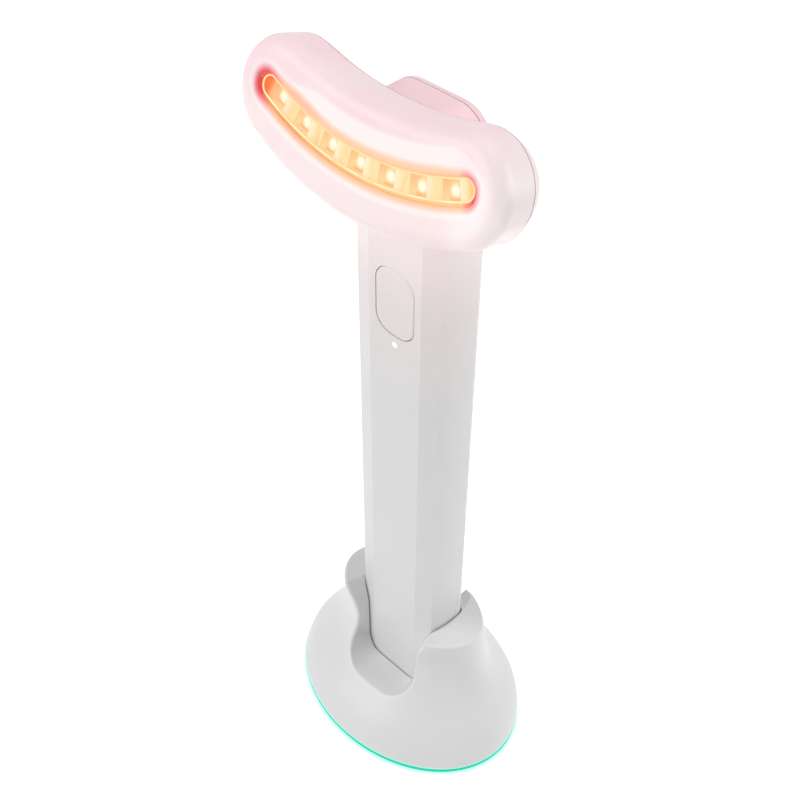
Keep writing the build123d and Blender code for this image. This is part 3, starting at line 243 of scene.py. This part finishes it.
def add_object(name, data):
    made = bpy.data.objects.new(name, data)
    bpy.context.scene.collection.objects.link(made)
    return made


def object_place(t):
    return t.node("ShaderNodeTexCoord").outputs["Object"]


# Places in the head's plane, in metres. x and v run right and up from the head's origin.
# along and across run right and up from the middle of the slot's curved centre line, and
# off is the distance from that line.
HeadPlaces = namedtuple("HeadPlaces", "x v along across off")


def head_places(t):
    local = t.vector_math("SUBTRACT", object_place(t), HEAD_ORIGIN).outputs["Vector"]
    x, v = t.dot(local, RIGHT), t.dot(local, UP_FACE)
    down = t.minus(ARC_R, v)
    angle = t.math("ARCTAN2", x, down)
    along = t.times(angle, ARC_R)
    across = t.minus(ARC_R, t.hypotenuse(x, down))
    # Nearest point of the centre line
    nearest = t.held(angle, ARC_HALF)
    near_x = t.times(t.math("SINE", nearest), ARC_R)
    near_v = t.minus(ARC_R, t.times(t.math("COSINE", nearest), ARC_R))
    off = t.hypotenuse(t.minus(x, near_x), t.minus(v, near_v))
    return HeadPlaces(x, v, along, across, off)


def led_step(t, head):
    """Signed distance along the row from the nearest emitter."""
    count = t.math("DIVIDE", head.along, LED_PITCH)
    nearest = t.held(t.math("ROUND", count), LEDS_EACH_SIDE)
    return t.times(t.minus(count, nearest), LED_PITCH)


# Grain of moulded plastic
GRAIN_SCALE = 9000.0
GRAIN_DETAIL = 3.0
GRAIN_DEPTH = 0.05 * MM
GRAIN_RANGE = (0.2, 0.8)
# Part of a noise's range that clouds and lines fade over
NOISE_RANGE = (0.3, 0.7)


def moulded(t, shader, place, rough, spread, scale=GRAIN_SCALE, strength=0.05):
    """Very fine grain in the surface's relief and in its roughness."""
    grain = t.noise(place, scale, GRAIN_DETAIL)
    bump = t.node("ShaderNodeBump")
    bump.inputs["Strength"].default_value = strength
    bump.inputs["Distance"].default_value = GRAIN_DEPTH
    t.link(grain, bump.inputs["Height"])
    t.link(bump.outputs["Normal"], shader.inputs["Normal"])
    roughness = t.fade(grain, *GRAIN_RANGE, rough - spread, rough + spread)
    t.link(roughness, shader.inputs["Roughness"])


def mottled(t, place, colour, scale, amount):
    """The colour with a slight cloudy change of lightness."""
    cloud = t.fade(t.noise(place, scale), *NOISE_RANGE)
    shade = 1 - amount
    if isinstance(colour, tuple):
        dark = (*(c * shade for c in colour[:3]), 1.0)
    else:
        dark = t.mix(1.0, colour, (shade, shade, shade, 1.0), "MULTIPLY")
    return t.mix(cloud, dark, colour)


def satin_coat(shader):
    """Thin clear skin that moulded plastic has, brighter towards its outlines."""
    shader.inputs["IOR"].default_value = 1.55
    shader.inputs["Coat Weight"].default_value = 0.3
    shader.inputs["Coat Roughness"].default_value = 0.45
    shader.inputs["Coat IOR"].default_value = 1.6


def lit_from_within(t, shader, light, dark, darkness=0.8, power=0.9):
    """Give off the light, over a body in its colour that is darkened by the given share."""
    t.link(t.mix(darkness, light, dark), shader.inputs["Base Color"])
    t.link(light, shader.inputs["Emission Color"])
    shader.inputs["Emission Strength"].default_value = power


PLASTIC_SPREAD = 0.04
PLASTIC_CLOUD = 120.0


def plastic(name, colour, rough=0.4, scale=GRAIN_SCALE, strength=0.06, mottle=0.02):
    """Moulded plastic with a fine eroded texture."""
    material, t, shader = new_material(name)
    place = object_place(t)
    base = mottled(t, place, colour, PLASTIC_CLOUD, mottle)
    t.link(base, shader.inputs["Base Color"])
    moulded(t, shader, place, rough, PLASTIC_SPREAD, scale, strength)
    return material


def status_pipe(name):
    """White light pipe that is lit."""
    material = plastic(name, STATUS_WHITE, rough=0.3)
    shader = material.node_tree.nodes["Principled BSDF"]
    shader.inputs["Emission Color"].default_value = WHITE
    shader.inputs["Emission Strength"].default_value = 0.6
    return material


# Heights on the grip of its painted pink and rose glow, and what the head's light adds to the
# neck
PINK_SPAN = (118.0, 186.0)
ROSE_SPAN = (186.0, 196.0)
NECK_GLOW_SPAN = (150.0, 176.0, 0.0, 0.07)
GRIP_CLOUD, GRIP_MOTTLE = 90.0, 0.012


def grip_plastic(name):
    """Off-white plastic of the grip, with the head's red light painted in: pink towards the
    head and rose on the block.
    """
    material, t, shader = new_material(name)
    place = object_place(t)
    height = t.dot(place, UP)
    # Painted light: the head's red light glowing in the plastic, as pink towards the head and
    # rose on the block
    base = t.mix(t.span(height, PINK_SPAN), GRIP_WHITE, GRIP_PINK)
    base = t.mix(t.span(height, ROSE_SPAN), base, BLOCK_ROSE)
    t.link(mottled(t, place, base, GRIP_CLOUD, GRIP_MOTTLE), shader.inputs["Base Color"])
    shader.inputs["Emission Color"].default_value = GRIP_PINK
    t.link(t.span(height, NECK_GLOW_SPAN), shader.inputs["Emission Strength"])
    moulded(t, shader, place, rough=0.41, spread=0.05)
    satin_coat(shader)
    return material


# Halo: its upper side, the stretch where that reaches further, and its rim and dimmer ends
UPPER_SPAN = (-1.0, 2.5)
HALO_LEFT_SPAN = (-24.0, -13.0)
HALO_RIGHT_SPAN = (25.0, 33.0, 1.0, 0.0)
HALO_REACH = 2.9 * MM
HALO_RIM = (4.4, 6.0, 1.0, 0.0)
HALO_LEFT_DIM = (-32.0, -20.0, 0.4, 1.0)
HALO_RIGHT_DIM = (24.0, 31.0, 1.0, 0.6)
HALO_LOWER_SPAN = (-3.0, -6.0, 0.0, 0.45)


def halo_light(t, head):
    """Pale halo, which reaches further above the slot than below it, and less at the ends."""
    upper = t.span(head.across, UPPER_SPAN)
    inner = t.times(t.span(head.along, HALO_LEFT_SPAN), t.span(head.along, HALO_RIGHT_SPAN))
    halo = t.span(t.minus(head.off, t.times(upper, inner, HALO_REACH)), HALO_RIM)
    halo = t.times(halo, t.span(head.along, HALO_LEFT_DIM), t.span(head.along, HALO_RIGHT_DIM))
    # A weaker part of it covers the lower side
    return t.largest(halo, t.span(head.across, HALO_LOWER_SPAN))


# Spill: its left side, its red ends, and how far it reaches on the right and on the left
SPILL_LEFT_SPAN = (-4.0, -20.0)
SPILL_LEFT_END = (-22.5, -27.5)
SPILL_RIGHT_END = (25.8, 29.6)
SPILL_REACH = (0.8 * MM, 1.4 * MM)
SPILL_LEFT_TAPER = (-29.0, -18.0, 0.2, 1.0)
SPILL_RIGHT_TAPER = (21.0, 30.0, 1.0, 0.3)
SPILL_RIM = (2.6, 4.5, 1.0, 0.0)


def slot_spill(t, head):
    """Orange spill along the slot, deeper towards the left: colour, strength and red ends."""
    left = t.span(head.along, SPILL_LEFT_SPAN)
    end = t.largest(t.span(head.along, SPILL_LEFT_END), t.span(head.along, SPILL_RIGHT_END))
    glow = t.mix(end, t.mix(left, GLOW_SIDE, GLOW_LEFT), GLOW_END)
    upper = t.span(head.across, UPPER_SPAN)
    tapers = [t.span(head.along, span) for span in (SPILL_LEFT_TAPER, SPILL_RIGHT_TAPER)]
    reach = t.times(upper, t.between(left, *SPILL_REACH), *tapers)
    return glow, t.span(t.minus(head.off, reach), SPILL_RIM), end


# Emission of the lit face: outside and inside the halo, in the spill, and on the slot's
# walls in the middle and at the ends
FACE_POWER = (0.07, 0.13)
SPILL_POWER = 0.2
WALL_RIM = (2.9, 3.6, 1.0, 0.0)
WALL_POWER = (0.16, 0.26)

# Light from the floor, on the head's lower right and short of its edge
FLOOR_LIGHT_RIGHT = (22.0, 30.0)
FLOOR_LIGHT_LOW = (16.0, 4.0)
FLOOR_LIGHT_EDGE = (34.4, 35.6, 0.115, 0.0)


def face_power(t, head, halo, spill, end):
    """Emission strength over the lit face."""
    face = t.between(halo, *FACE_POWER)
    wall = t.times(t.span(head.off, WALL_RIM), t.between(end, *WALL_POWER))
    power = t.largest(face, t.times(spill, SPILL_POWER), wall)
    right, edge = t.span(head.x, FLOOR_LIGHT_RIGHT), t.span(head.x, FLOOR_LIGHT_EDGE)
    return t.math("ADD", power, t.times(right, t.span(head.v, FLOOR_LIGHT_LOW), edge))


# Painted pink glow of the head's red light in its plastic: size and range of its clouds, and
# how grey it turns on the right
PINK_GLOW_CLOUD, PINK_GLOW_DETAIL = 45.0, 1.0
PINK_GLOW_RANGE = (0.35, 0.65)
GREY_SPAN = (24.0, 37.0, 0.0, 0.8)


def head_plastic(name, lit):
    """Plastic of the head with the pink glow of its red light painted into its colour, and on
    the lit face the light that the slot spills.
    """
    material, t, shader = new_material(name)
    place = object_place(t)
    head = head_places(t)
    # Painted light: the pink glow of the head's red light in the plastic, in clouds, turning
    # grey on the right
    cloud = t.fade(t.noise(place, PINK_GLOW_CLOUD, PINK_GLOW_DETAIL), *PINK_GLOW_RANGE)
    base = t.mix(t.span(head.x, GREY_SPAN), t.mix(cloud, HEAD_PALE, HEAD_PINK), HEAD_GREY)
    if lit:
        halo = halo_light(t, head)
        glow, spill, end = slot_spill(t, head)
        base = t.mix(spill, t.mix(halo, base, HALO_PALE), glow)
        t.link(base, shader.inputs["Emission Color"])
        t.link(face_power(t, head, halo, spill, end), shader.inputs["Emission Strength"])
    t.link(base, shader.inputs["Base Color"])
    moulded(t, shader, place, rough=0.43, spread=0.05)
    satin_coat(shader)
    return material


def window_material(name):
    """Clear window: it shows the cells, and keeps a soft gloss."""
    material, t, shader = new_material(name)
    shader.inputs["Base Color"].default_value = WINDOW_GLOSS
    shader.inputs["Roughness"].default_value = 0.12
    clear = t.node("ShaderNodeBsdfTransparent")
    clear.inputs["Color"].default_value = WINDOW_CLEAR
    weight = t.node("ShaderNodeFresnel")
    weight.inputs["IOR"].default_value = 1.25
    blend = t.node("ShaderNodeMixShader")
    for made, socket in zip((weight, clear, shader), blend.inputs):
        t.link(made.outputs[0], socket)
    t.link(blend.outputs[0], material.node_tree.nodes["Material Output"].inputs["Surface"])
    return material


# Lands between the cells, by the step from the nearest emitter: cream turns to peach on its
# right, and all is peach on its left, up to the pocket's border
PEACH_SPAN = (2.2, 4.0)
RIGHT_SIDE_SPAN = (-0.1, 0.1)
BORDER_LEFT = 2.05 * MM
BORDER_SPAN = (0.0, 0.18, 0.7, 0.0)
# The lands' lower side, and the row's two ends
LAND_LOW_SPAN = (-1.0, -2.6)
RIGHT_END_SPAN = (27.0, 29.2)
LEFT_END_SPAN = (-24.8, -27.6)
# The margin outside the painted highlight tube: where it turns red, its rim, and how the rim
# moves inwards at the lower right and outwards at the upper right
MARGIN_RED_SPAN = (25.5, 27.5)
MARGIN_RIM = (2.1, 2.4)
MARGIN_RIGHT_SPAN = (25.0, 28.5, 0.0, 0.6 * MM)
MARGIN_UPPER_SPAN = (-0.5, 1.2, 1.0, -0.5)


def land_light(t, head):
    """Cream and peach lands, deep orange at the row's ends, the left one more."""
    step = led_step(t, head)
    light = t.mix(t.span(step, PEACH_SPAN), LAND_CREAM, LAND_PEACH)
    light = t.mix(t.span(step, RIGHT_SIDE_SPAN), LAND_PEACH, light)
    # Thin brown line on the left border of each pocket
    from_border = t.math("ABSOLUTE", t.math("ADD", step, BORDER_LEFT))
    light = t.mix(t.span(from_border, BORDER_SPAN), light, BORDER_BROWN)
    light = t.mix(t.span(head.across, LAND_LOW_SPAN), light, LAND_LOW)
    light = t.mix(t.span(head.along, RIGHT_END_SPAN), light, RIGHT_END_ORANGE)
    light = t.mix(t.span(head.along, LEFT_END_SPAN), light, LEFT_END_ORANGE)
    # Outside the painted highlight tube it takes the colour of the spill
    red = t.span(t.math("ABSOLUTE", head.along), MARGIN_RED_SPAN)
    inwards = t.times(
        t.span(head.along, MARGIN_RIGHT_SPAN), t.span(head.across, MARGIN_UPPER_SPAN)
    )
    margin = t.span(t.math("ADD", head.off, inwards), MARGIN_RIM)
    return t.mix(margin, light, t.mix(red, MARGIN_PEACH, GLOW_END))


# Spot on each emitter, from its middle outwards, and the pocket's lower side
SPOT_SPAN = (0.4, 2.1)
SPOT_STOPS = ((0.0, SPOT_WHITE), (0.25, SPOT_CREAM), (0.55, SPOT_EDGE), (1.0, POCKET))
POCKET_LOW_SPAN = (-1.0, -2.1)


def spot_light(t, head):
    """White-hot spot on each emitter, in an orange pocket."""
    from_emitter = t.hypotenuse(led_step(t, head), head.across)
    return t.ramp(t.span(from_emitter, SPOT_SPAN), SPOT_STOPS)


def pocket_light(t, head):
    """The same spots as they show on the board, deeper on the pockets' lower side."""
    return t.mix(t.span(head.across, POCKET_LOW_SPAN), spot_light(t, head), POCKET_LOW)


CELL_STREAKS = 700.0
STREAK_RANGE = (0.4, 0.7, 0.0, 0.05)


def cell_material(name, light_of):
    """Lit cells, with faint streaks in their light."""
    material, t, shader = new_material(name)
    streak = t.fade(t.noise(object_place(t), CELL_STREAKS), *STREAK_RANGE)
    light = t.mix(streak, light_of(t, head_places(t)), LAND_CREAM)
    lit_from_within(t, shader, light, CELL_DARK)
    shader.inputs["Roughness"].default_value = 0.6
    shader.inputs["Specular IOR Level"].default_value = 0.2
    return material


# Heights of the ring's pale foot, and of its light on the dock's lowest edge
RING_FOOT_SPAN = (0.3, 0.6)
DOCK_SPILL_SPAN = (2.2, 2.9, 0.8, 0.0)
DOCK_SPILL_POWER = 0.2


def ring_material(name):
    """Milky light guide: teal, with a pale edge where its light leaves at the foot."""
    material, t, shader = new_material(name)
    height = t.dot(object_place(t), UP)
    light = t.mix(t.span(height, RING_FOOT_SPAN), RING_PALE, RING_TEAL)
    lit_from_within(t, shader, light, RING_DARK, darkness=0.9, power=0.95)
    shader.inputs["Roughness"].default_value = 0.4
    shader.inputs["Specular IOR Level"].default_value = 0.1
    return material


def dock_plastic(name):
    """Satin plastic of the dock, with the ring's light on its lowest edge."""
    material, t, shader = new_material(name)
    place = object_place(t)
    base = mottled(t, place, DOCK_WHITE, PLASTIC_CLOUD, amount=0.01)
    spill = t.span(t.dot(place, UP), DOCK_SPILL_SPAN)
    t.link(t.mix(spill, base, RING_PALE), shader.inputs["Base Color"])
    shader.inputs["Emission Color"].default_value = RING_PALE
    t.link(t.times(spill, DOCK_SPILL_POWER), shader.inputs["Emission Strength"])
    moulded(t, shader, place, rough=0.36, spread=PLASTIC_SPREAD, scale=7000.0, strength=0.04)
    satin_coat(shader)
    return material


# Fine lines of metal: how much closer they lie in x, y and z
LINES_UP, LINES_ACROSS = (1.0, 1.0, 18.0), (18.0, 1.0, 1.0)
LINE_SCALE = 900.0
METAL_SPREAD = 0.07
METAL_CLOUD, METAL_MOTTLE = 300.0, 0.08


def metal(name, colour, rough, stretch=LINES_UP):
    """Drawn or plated metal with fine lines."""
    material, t, shader = new_material(name)
    place = object_place(t)
    lines = t.noise(t.scaled(place, stretch), LINE_SCALE)
    roughness = t.fade(lines, *NOISE_RANGE, rough - METAL_SPREAD, rough + METAL_SPREAD)
    t.link(roughness, shader.inputs["Roughness"])
    t.link(mottled(t, place, colour, METAL_CLOUD, METAL_MOTTLE), shader.inputs["Base Color"])
    shader.inputs["Metallic"].default_value = 1.0
    return material


TRACE_SCALE = 700.0
TRACE_RANGE = (0.03, 0.06)


def board_material(name):
    """Green circuit board with traces under the mask."""
    material, t, shader = new_material(name)
    cells = t.node("ShaderNodeTexVoronoi", feature="DISTANCE_TO_EDGE")
    t.link(object_place(t), cells.inputs["Vector"])
    cells.inputs["Scale"].default_value = TRACE_SCALE
    trace = t.fade(cells.outputs["Distance"], *TRACE_RANGE)
    t.link(t.mix(trace, TRACE_GREEN, MASK_GREEN), shader.inputs["Base Color"])
    shader.inputs["Roughness"].default_value = 0.35
    return material


# Plastics inside: slot, material, screen colour, roughness, grain scale and strength, mottle
PLASTICS = (
    ("component_black", "component_epoxy", (34, 34, 36), 0.5, 5000.0, 0.1, 0.1),
    ("foot_rubber", "foot_rubber_matt", (58, 58, 60), 0.75, 4000.0, 0.25, 0.12),
    ("battery_wrap", "battery_film", (66, 108, 158), 0.25, 1500.0, 0.03, 0.05),
    ("pad_foam", "pad_open_foam", (92, 92, 94), 0.9, 1800.0, 0.5, 0.2),
    ("lead_red", "lead_sleeve", (168, 44, 36), 0.45, 3000.0, 0.05, 0.05),
    ("flex_amber", "ribbon_film", (196, 128, 52), 0.3, 2500.0, 0.03, 0.06),
)

# Metals: slot, material, screen colour, roughness, lines
METALS = (
    ("contact_gold", "contact_plate", (222, 184, 110), 0.28, LINES_UP),
    ("screw_steel", "screw_zinc", (176, 178, 182), 0.34, LINES_UP),
    ("ballast_steel", "ballast_plate", (140, 142, 146), 0.42, LINES_ACROSS),
    ("motor_metal", "motor_can", (186, 187, 190), 0.3, LINES_UP),
    ("usb_metal", "socket_shell", (184, 186, 190), 0.3, LINES_UP),
)

# Material of each slot
materials = {
    "satin_white": grip_plastic("grip_satin"),
    "blush_satin": head_plastic("head_pink_glow", lit=False),
    "dock_white": dock_plastic("dock_satin"),
    "button_satin": grip_plastic("button_satin"),
    "window_red": window_material("window_clear"),
    "reflector_white": cell_material("cell_lands", land_light),
    "emitter_yellow": cell_material("emitter_spots", spot_light),
    "ring_teal": ring_material("ring_glow"),
    "board_green": board_material("board_mask"),
    "light_clear": status_pipe("status_pipe"),
}
for slot, name, colour, *values in PLASTICS:
    materials[slot] = plastic(name, linear(*colour), *values)
for slot, name, colour, *values in METALS:
    materials[slot] = metal(name, linear(*colour), *values)

# Nodes that differ from the others in their slot
own_materials = {
    "head_front": head_plastic("head_face_lit", lit=True),
    "led_board": cell_material("led_board_lit", pocket_light),
    "ring_leds": ring_material("ring_led_glow"),
    "switch_plunger": plastic("plunger_white", PLUNGER_WHITE),
}

for subpart in frame["record"]["subparts"]:
    name = subpart["node"]
    slots = nodes[name].data.materials
    slots.clear()
    slots.append(own_materials.get(name, materials[subpart["material_slot"]]))

# Glowing tube that paints the highlight of the emitters' light along the window's edge: its two
# runs across the row, its ends along it, its place out of the head's plane, its own radius,
# and the steps of a run, of a turn and around it
EDGE_HIGHLIGHT_LOW, EDGE_HIGHLIGHT_HIGH = -1.8 * MM, 2.5 * MM
EDGE_HIGHLIGHT_LEFT, EDGE_HIGHLIGHT_RIGHT = -26.55 * MM, 27.3 * MM
EDGE_HIGHLIGHT_DEPTH = 1.84 * MM
EDGE_HIGHLIGHT_R = 0.18 * MM
EDGE_HIGHLIGHT_RUN_STEPS, EDGE_HIGHLIGHT_TURN_STEPS = 60, 16
EDGE_HIGHLIGHT_SIDES = 10


def face_point(along, across, depth):
    """Place on the emitter arc: along it, across it and out of the head's plane."""
    angle, radius = along / ARC_R, ARC_R - across
    right, rise = radius * sin(angle), ARC_R - radius * cos(angle)
    return HEAD_ORIGIN + RIGHT * right + UP_FACE * rise + OUT_FACE * depth


def edge_highlight_path():
    """Points once round the highlight tube's oval: low run, right end, high run, left end."""
    half = (EDGE_HIGHLIGHT_HIGH - EDGE_HIGHLIGHT_LOW) / 2
    middle = (EDGE_HIGHLIGHT_HIGH + EDGE_HIGHLIGHT_LOW) / 2
    path = []
    for sign, first, last in ((-1, EDGE_HIGHLIGHT_LEFT, EDGE_HIGHLIGHT_RIGHT), (1, EDGE_HIGHLIGHT_RIGHT, EDGE_HIGHLIGHT_LEFT)):
        for i in range(EDGE_HIGHLIGHT_RUN_STEPS + 1):
            path.append((first + (last - first) * i / EDGE_HIGHLIGHT_RUN_STEPS, middle + sign * half))
        for i in range(1, EDGE_HIGHLIGHT_TURN_STEPS):
            angle = sign * pi * (0.5 - i / EDGE_HIGHLIGHT_TURN_STEPS)
            path.append((last - sign * half * cos(angle), middle + half * sin(angle)))
    return [face_point(along, across, EDGE_HIGHLIGHT_DEPTH) for along, across in path]


def round_tube(name, path, radius, around):
    """Closed tube that follows a closed path in the head's plane."""
    mesh = bmesh.new()
    angles = [2 * pi * k / around for k in range(around)]
    rings = []
    for i, point in enumerate(path):
        ahead = (path[(i + 1) % len(path)] - path[i - 1]).normalized()
        side = ahead.cross(OUT_FACE)
        ring = [point + (side * cos(a) + OUT_FACE * sin(a)) * radius for a in angles]
        rings.append([mesh.verts.new(corner) for corner in ring])
    for i in range(len(rings)):
        a, b = rings[i - 1], rings[i]
        for k in range(around):
            mesh.faces.new((a[k - 1], a[k], b[k], b[k - 1])).smooth = True
    bmesh.ops.recalc_face_normals(mesh, faces=mesh.faces)
    data = bpy.data.meshes.new(name)
    mesh.to_mesh(data)
    mesh.free()
    return add_object(name, data)


EDGE_HIGHLIGHT_GOLD_SPAN = (1.0, 3.0)
EDGE_HIGHLIGHT_HIGH_SPAN = (-1.2, 2.0)


def edge_highlight_material(name):
    """Painted highlight along the window's edge, given off as light: gold, and paler where it
    passes an emitter.
    """
    material, t, shader = new_material(name)
    head = head_places(t)
    from_emitter = t.math("ABSOLUTE", led_step(t, head))
    light = t.mix(t.span(from_emitter, EDGE_HIGHLIGHT_GOLD_SPAN), EDGE_HIGHLIGHT_PALE, EDGE_HIGHLIGHT_GOLD)
    light = t.mix(t.span(head.across, EDGE_HIGHLIGHT_HIGH_SPAN), light, EDGE_HIGHLIGHT_HIGH_SIDE)
    lit_from_within(t, shader, light, EDGE_HIGHLIGHT_DARK)
    shader.inputs["Roughness"].default_value = 0.25
    return material


# Painted highlight: a glowing tube for the bright line of light along the window's edge
edge_highlight = round_tube("window_edge_highlight", edge_highlight_path(), EDGE_HIGHLIGHT_R, EDGE_HIGHLIGHT_SIDES)
edge_highlight.data.materials.append(edge_highlight_material("edge_highlight_lit"))
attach(edge_highlight, "wand")


def seen_ray(t):
    """1 for the camera's rays, also by gloss or through clear pieces, and 0 for others."""
    paths = t.node("ShaderNodeLightPath")
    kinds = ("Is Camera Ray", "Is Glossy Ray", "Is Transmission Ray")
    return t.largest(*(paths.outputs[kind] for kind in kinds))


# Floor: half its side, and its place just under the foot
FLOOR_HALF = 6.0
FLOOR_Z = -0.2 * MM
# Where the dock's light fades on it, in half sizes of the ring, and how strong it is
RING_ON_FLOOR = (1.002, 1.022, 0.6, 0.0)
# Where its own light grows, in metres from the middle, and that light near and far
FLOOR_SEEN = (0.25, 2.5, 0.62, 1.02)

ring_low, ring_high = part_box("dock_light_ring")
RING_HALF_X, RING_HALF_Y = (ring_high[0] - ring_low[0]) / 2, (ring_high[1] - ring_low[1]) / 2


def floor_paper(name):
    """Pale paper that stays white where it is seen, keeps a soft shadow, and has the dock's
    teal light painted on it round the ring.
    """
    material, t, shader = new_material(name)
    place = object_place(t)
    oval = t.length(t.scaled(place, (1 / RING_HALF_X, 1 / RING_HALF_Y, 0.0)))
    # Painted light: the dock's teal light on the paper just outside the ring
    paper_and_ring_glow = t.mix(t.fade(oval, *RING_ON_FLOOR), PAPER_WHITE, RING_PALE)
    t.link(paper_and_ring_glow, shader.inputs["Base Color"])
    shader.inputs["Roughness"].default_value = 0.9
    # Beyond the lamps' reach it is as white as the backdrop
    glow = t.node("ShaderNodeEmission")
    t.link(paper_and_ring_glow, glow.inputs["Color"])
    white = t.fade(t.length(place), *FLOOR_SEEN)
    t.link(t.times(seen_ray(t), white), glow.inputs["Strength"])
    total = t.node("ShaderNodeAddShader")
    for made, socket in zip((shader, glow), total.inputs):
        t.link(made.outputs[0], socket)
    t.link(total.outputs[0], material.node_tree.nodes["Material Output"].inputs["Surface"])
    return material


floor_mesh = bpy.data.meshes.new("floor")
corners = [(x * FLOOR_HALF, y * FLOOR_HALF, 0) for x, y in ((-1, -1), (1, -1), (1, 1), (-1, 1))]
floor_mesh.from_pydata(corners, [], [(0, 1, 2, 3)])
floor_mesh.materials.append(floor_paper("floor_paper"))
floor = add_object("floor", floor_mesh)
floor.location.z = FLOOR_Z

# World: white where it is seen, soft grey light elsewhere
WORLD_LIGHT = 0.1
world = bpy.data.worlds.new("studio")
world.use_nodes = True
world_tree = Tree(world.node_tree)
background = world.node_tree.nodes["Background"]
background.inputs["Color"].default_value = WHITE
strength = world_tree.between(seen_ray(world_tree), WORLD_LIGHT, 1.0)
world_tree.link(strength, background.inputs["Strength"])
bpy.context.scene.world = world

# Lamps: how wide they are, and how far they stand from the place that they face
LAMP_SIZE = 0.9
LAMP_DISTANCE = 1.3
LAMP_TARGET = Vector((0.0, 0.0, 0.1))


def studio_lamp(name, around, height, watts):
    """Soft round lamp: degrees round from the front, degrees up, and its power."""
    data = bpy.data.lights.new(name, "AREA")
    data.shape = "DISK"
    data.size = LAMP_SIZE
    data.energy = watts
    lamp = add_object(name, data)
    a, e = radians(around), radians(height)
    towards = Vector((sin(a) * cos(e), -cos(a) * cos(e), sin(e)))
    lamp.location = LAMP_TARGET + towards * LAMP_DISTANCE
    lamp.rotation_mode = "QUATERNION"
    lamp.rotation_quaternion = (-towards).to_track_quat("-Z", "Y")


studio_lamp("front", around=-20, height=20, watts=4.2)
studio_lamp("front_left", around=-32, height=35, watts=4.4)
studio_lamp("right", around=118, height=27, watts=7.2)
studio_lamp("top", around=0, height=85, watts=4.0)
studio_lamp("back", around=180, height=50, watts=2.0)

# Camera at the photograph's place: its lens in pixels of a picture 800 wide, how far it
# looks down, is turned round from the front and is rolled, and where it stands in metres
PICTURE_PX, LENS_PX = 800.0, 1216.0
SENSOR = 36.0
PITCH, AROUND, ROLL = radians(44.1), radians(44.3), radians(0.33)
CAMERA_PLACE = Vector((0.14433, -0.15273, 0.32291))
NEAREST_SEEN = 0.01

right = Vector((cos(AROUND), sin(AROUND), 0.0))
forward = Vector((-sin(AROUND) * cos(PITCH), cos(AROUND) * cos(PITCH), -sin(PITCH)))
turned = Matrix((right, right.cross(forward), -forward)).transposed()
turned = turned @ Matrix.Rotation(ROLL, 3, "Z")
camera_data = bpy.data.cameras.new("photo_view")
camera_data.sensor_width = SENSOR
camera_data.lens = LENS_PX * SENSOR / PICTURE_PX
camera_data.clip_start = NEAREST_SEEN
camera = add_object("photo_view", camera_data)
camera.matrix_world = Matrix.Translation(CAMERA_PLACE) @ turned.to_4x4()
bpy.context.scene.camera = camera
bpy.context.scene.view_settings.view_transform = "Standard"
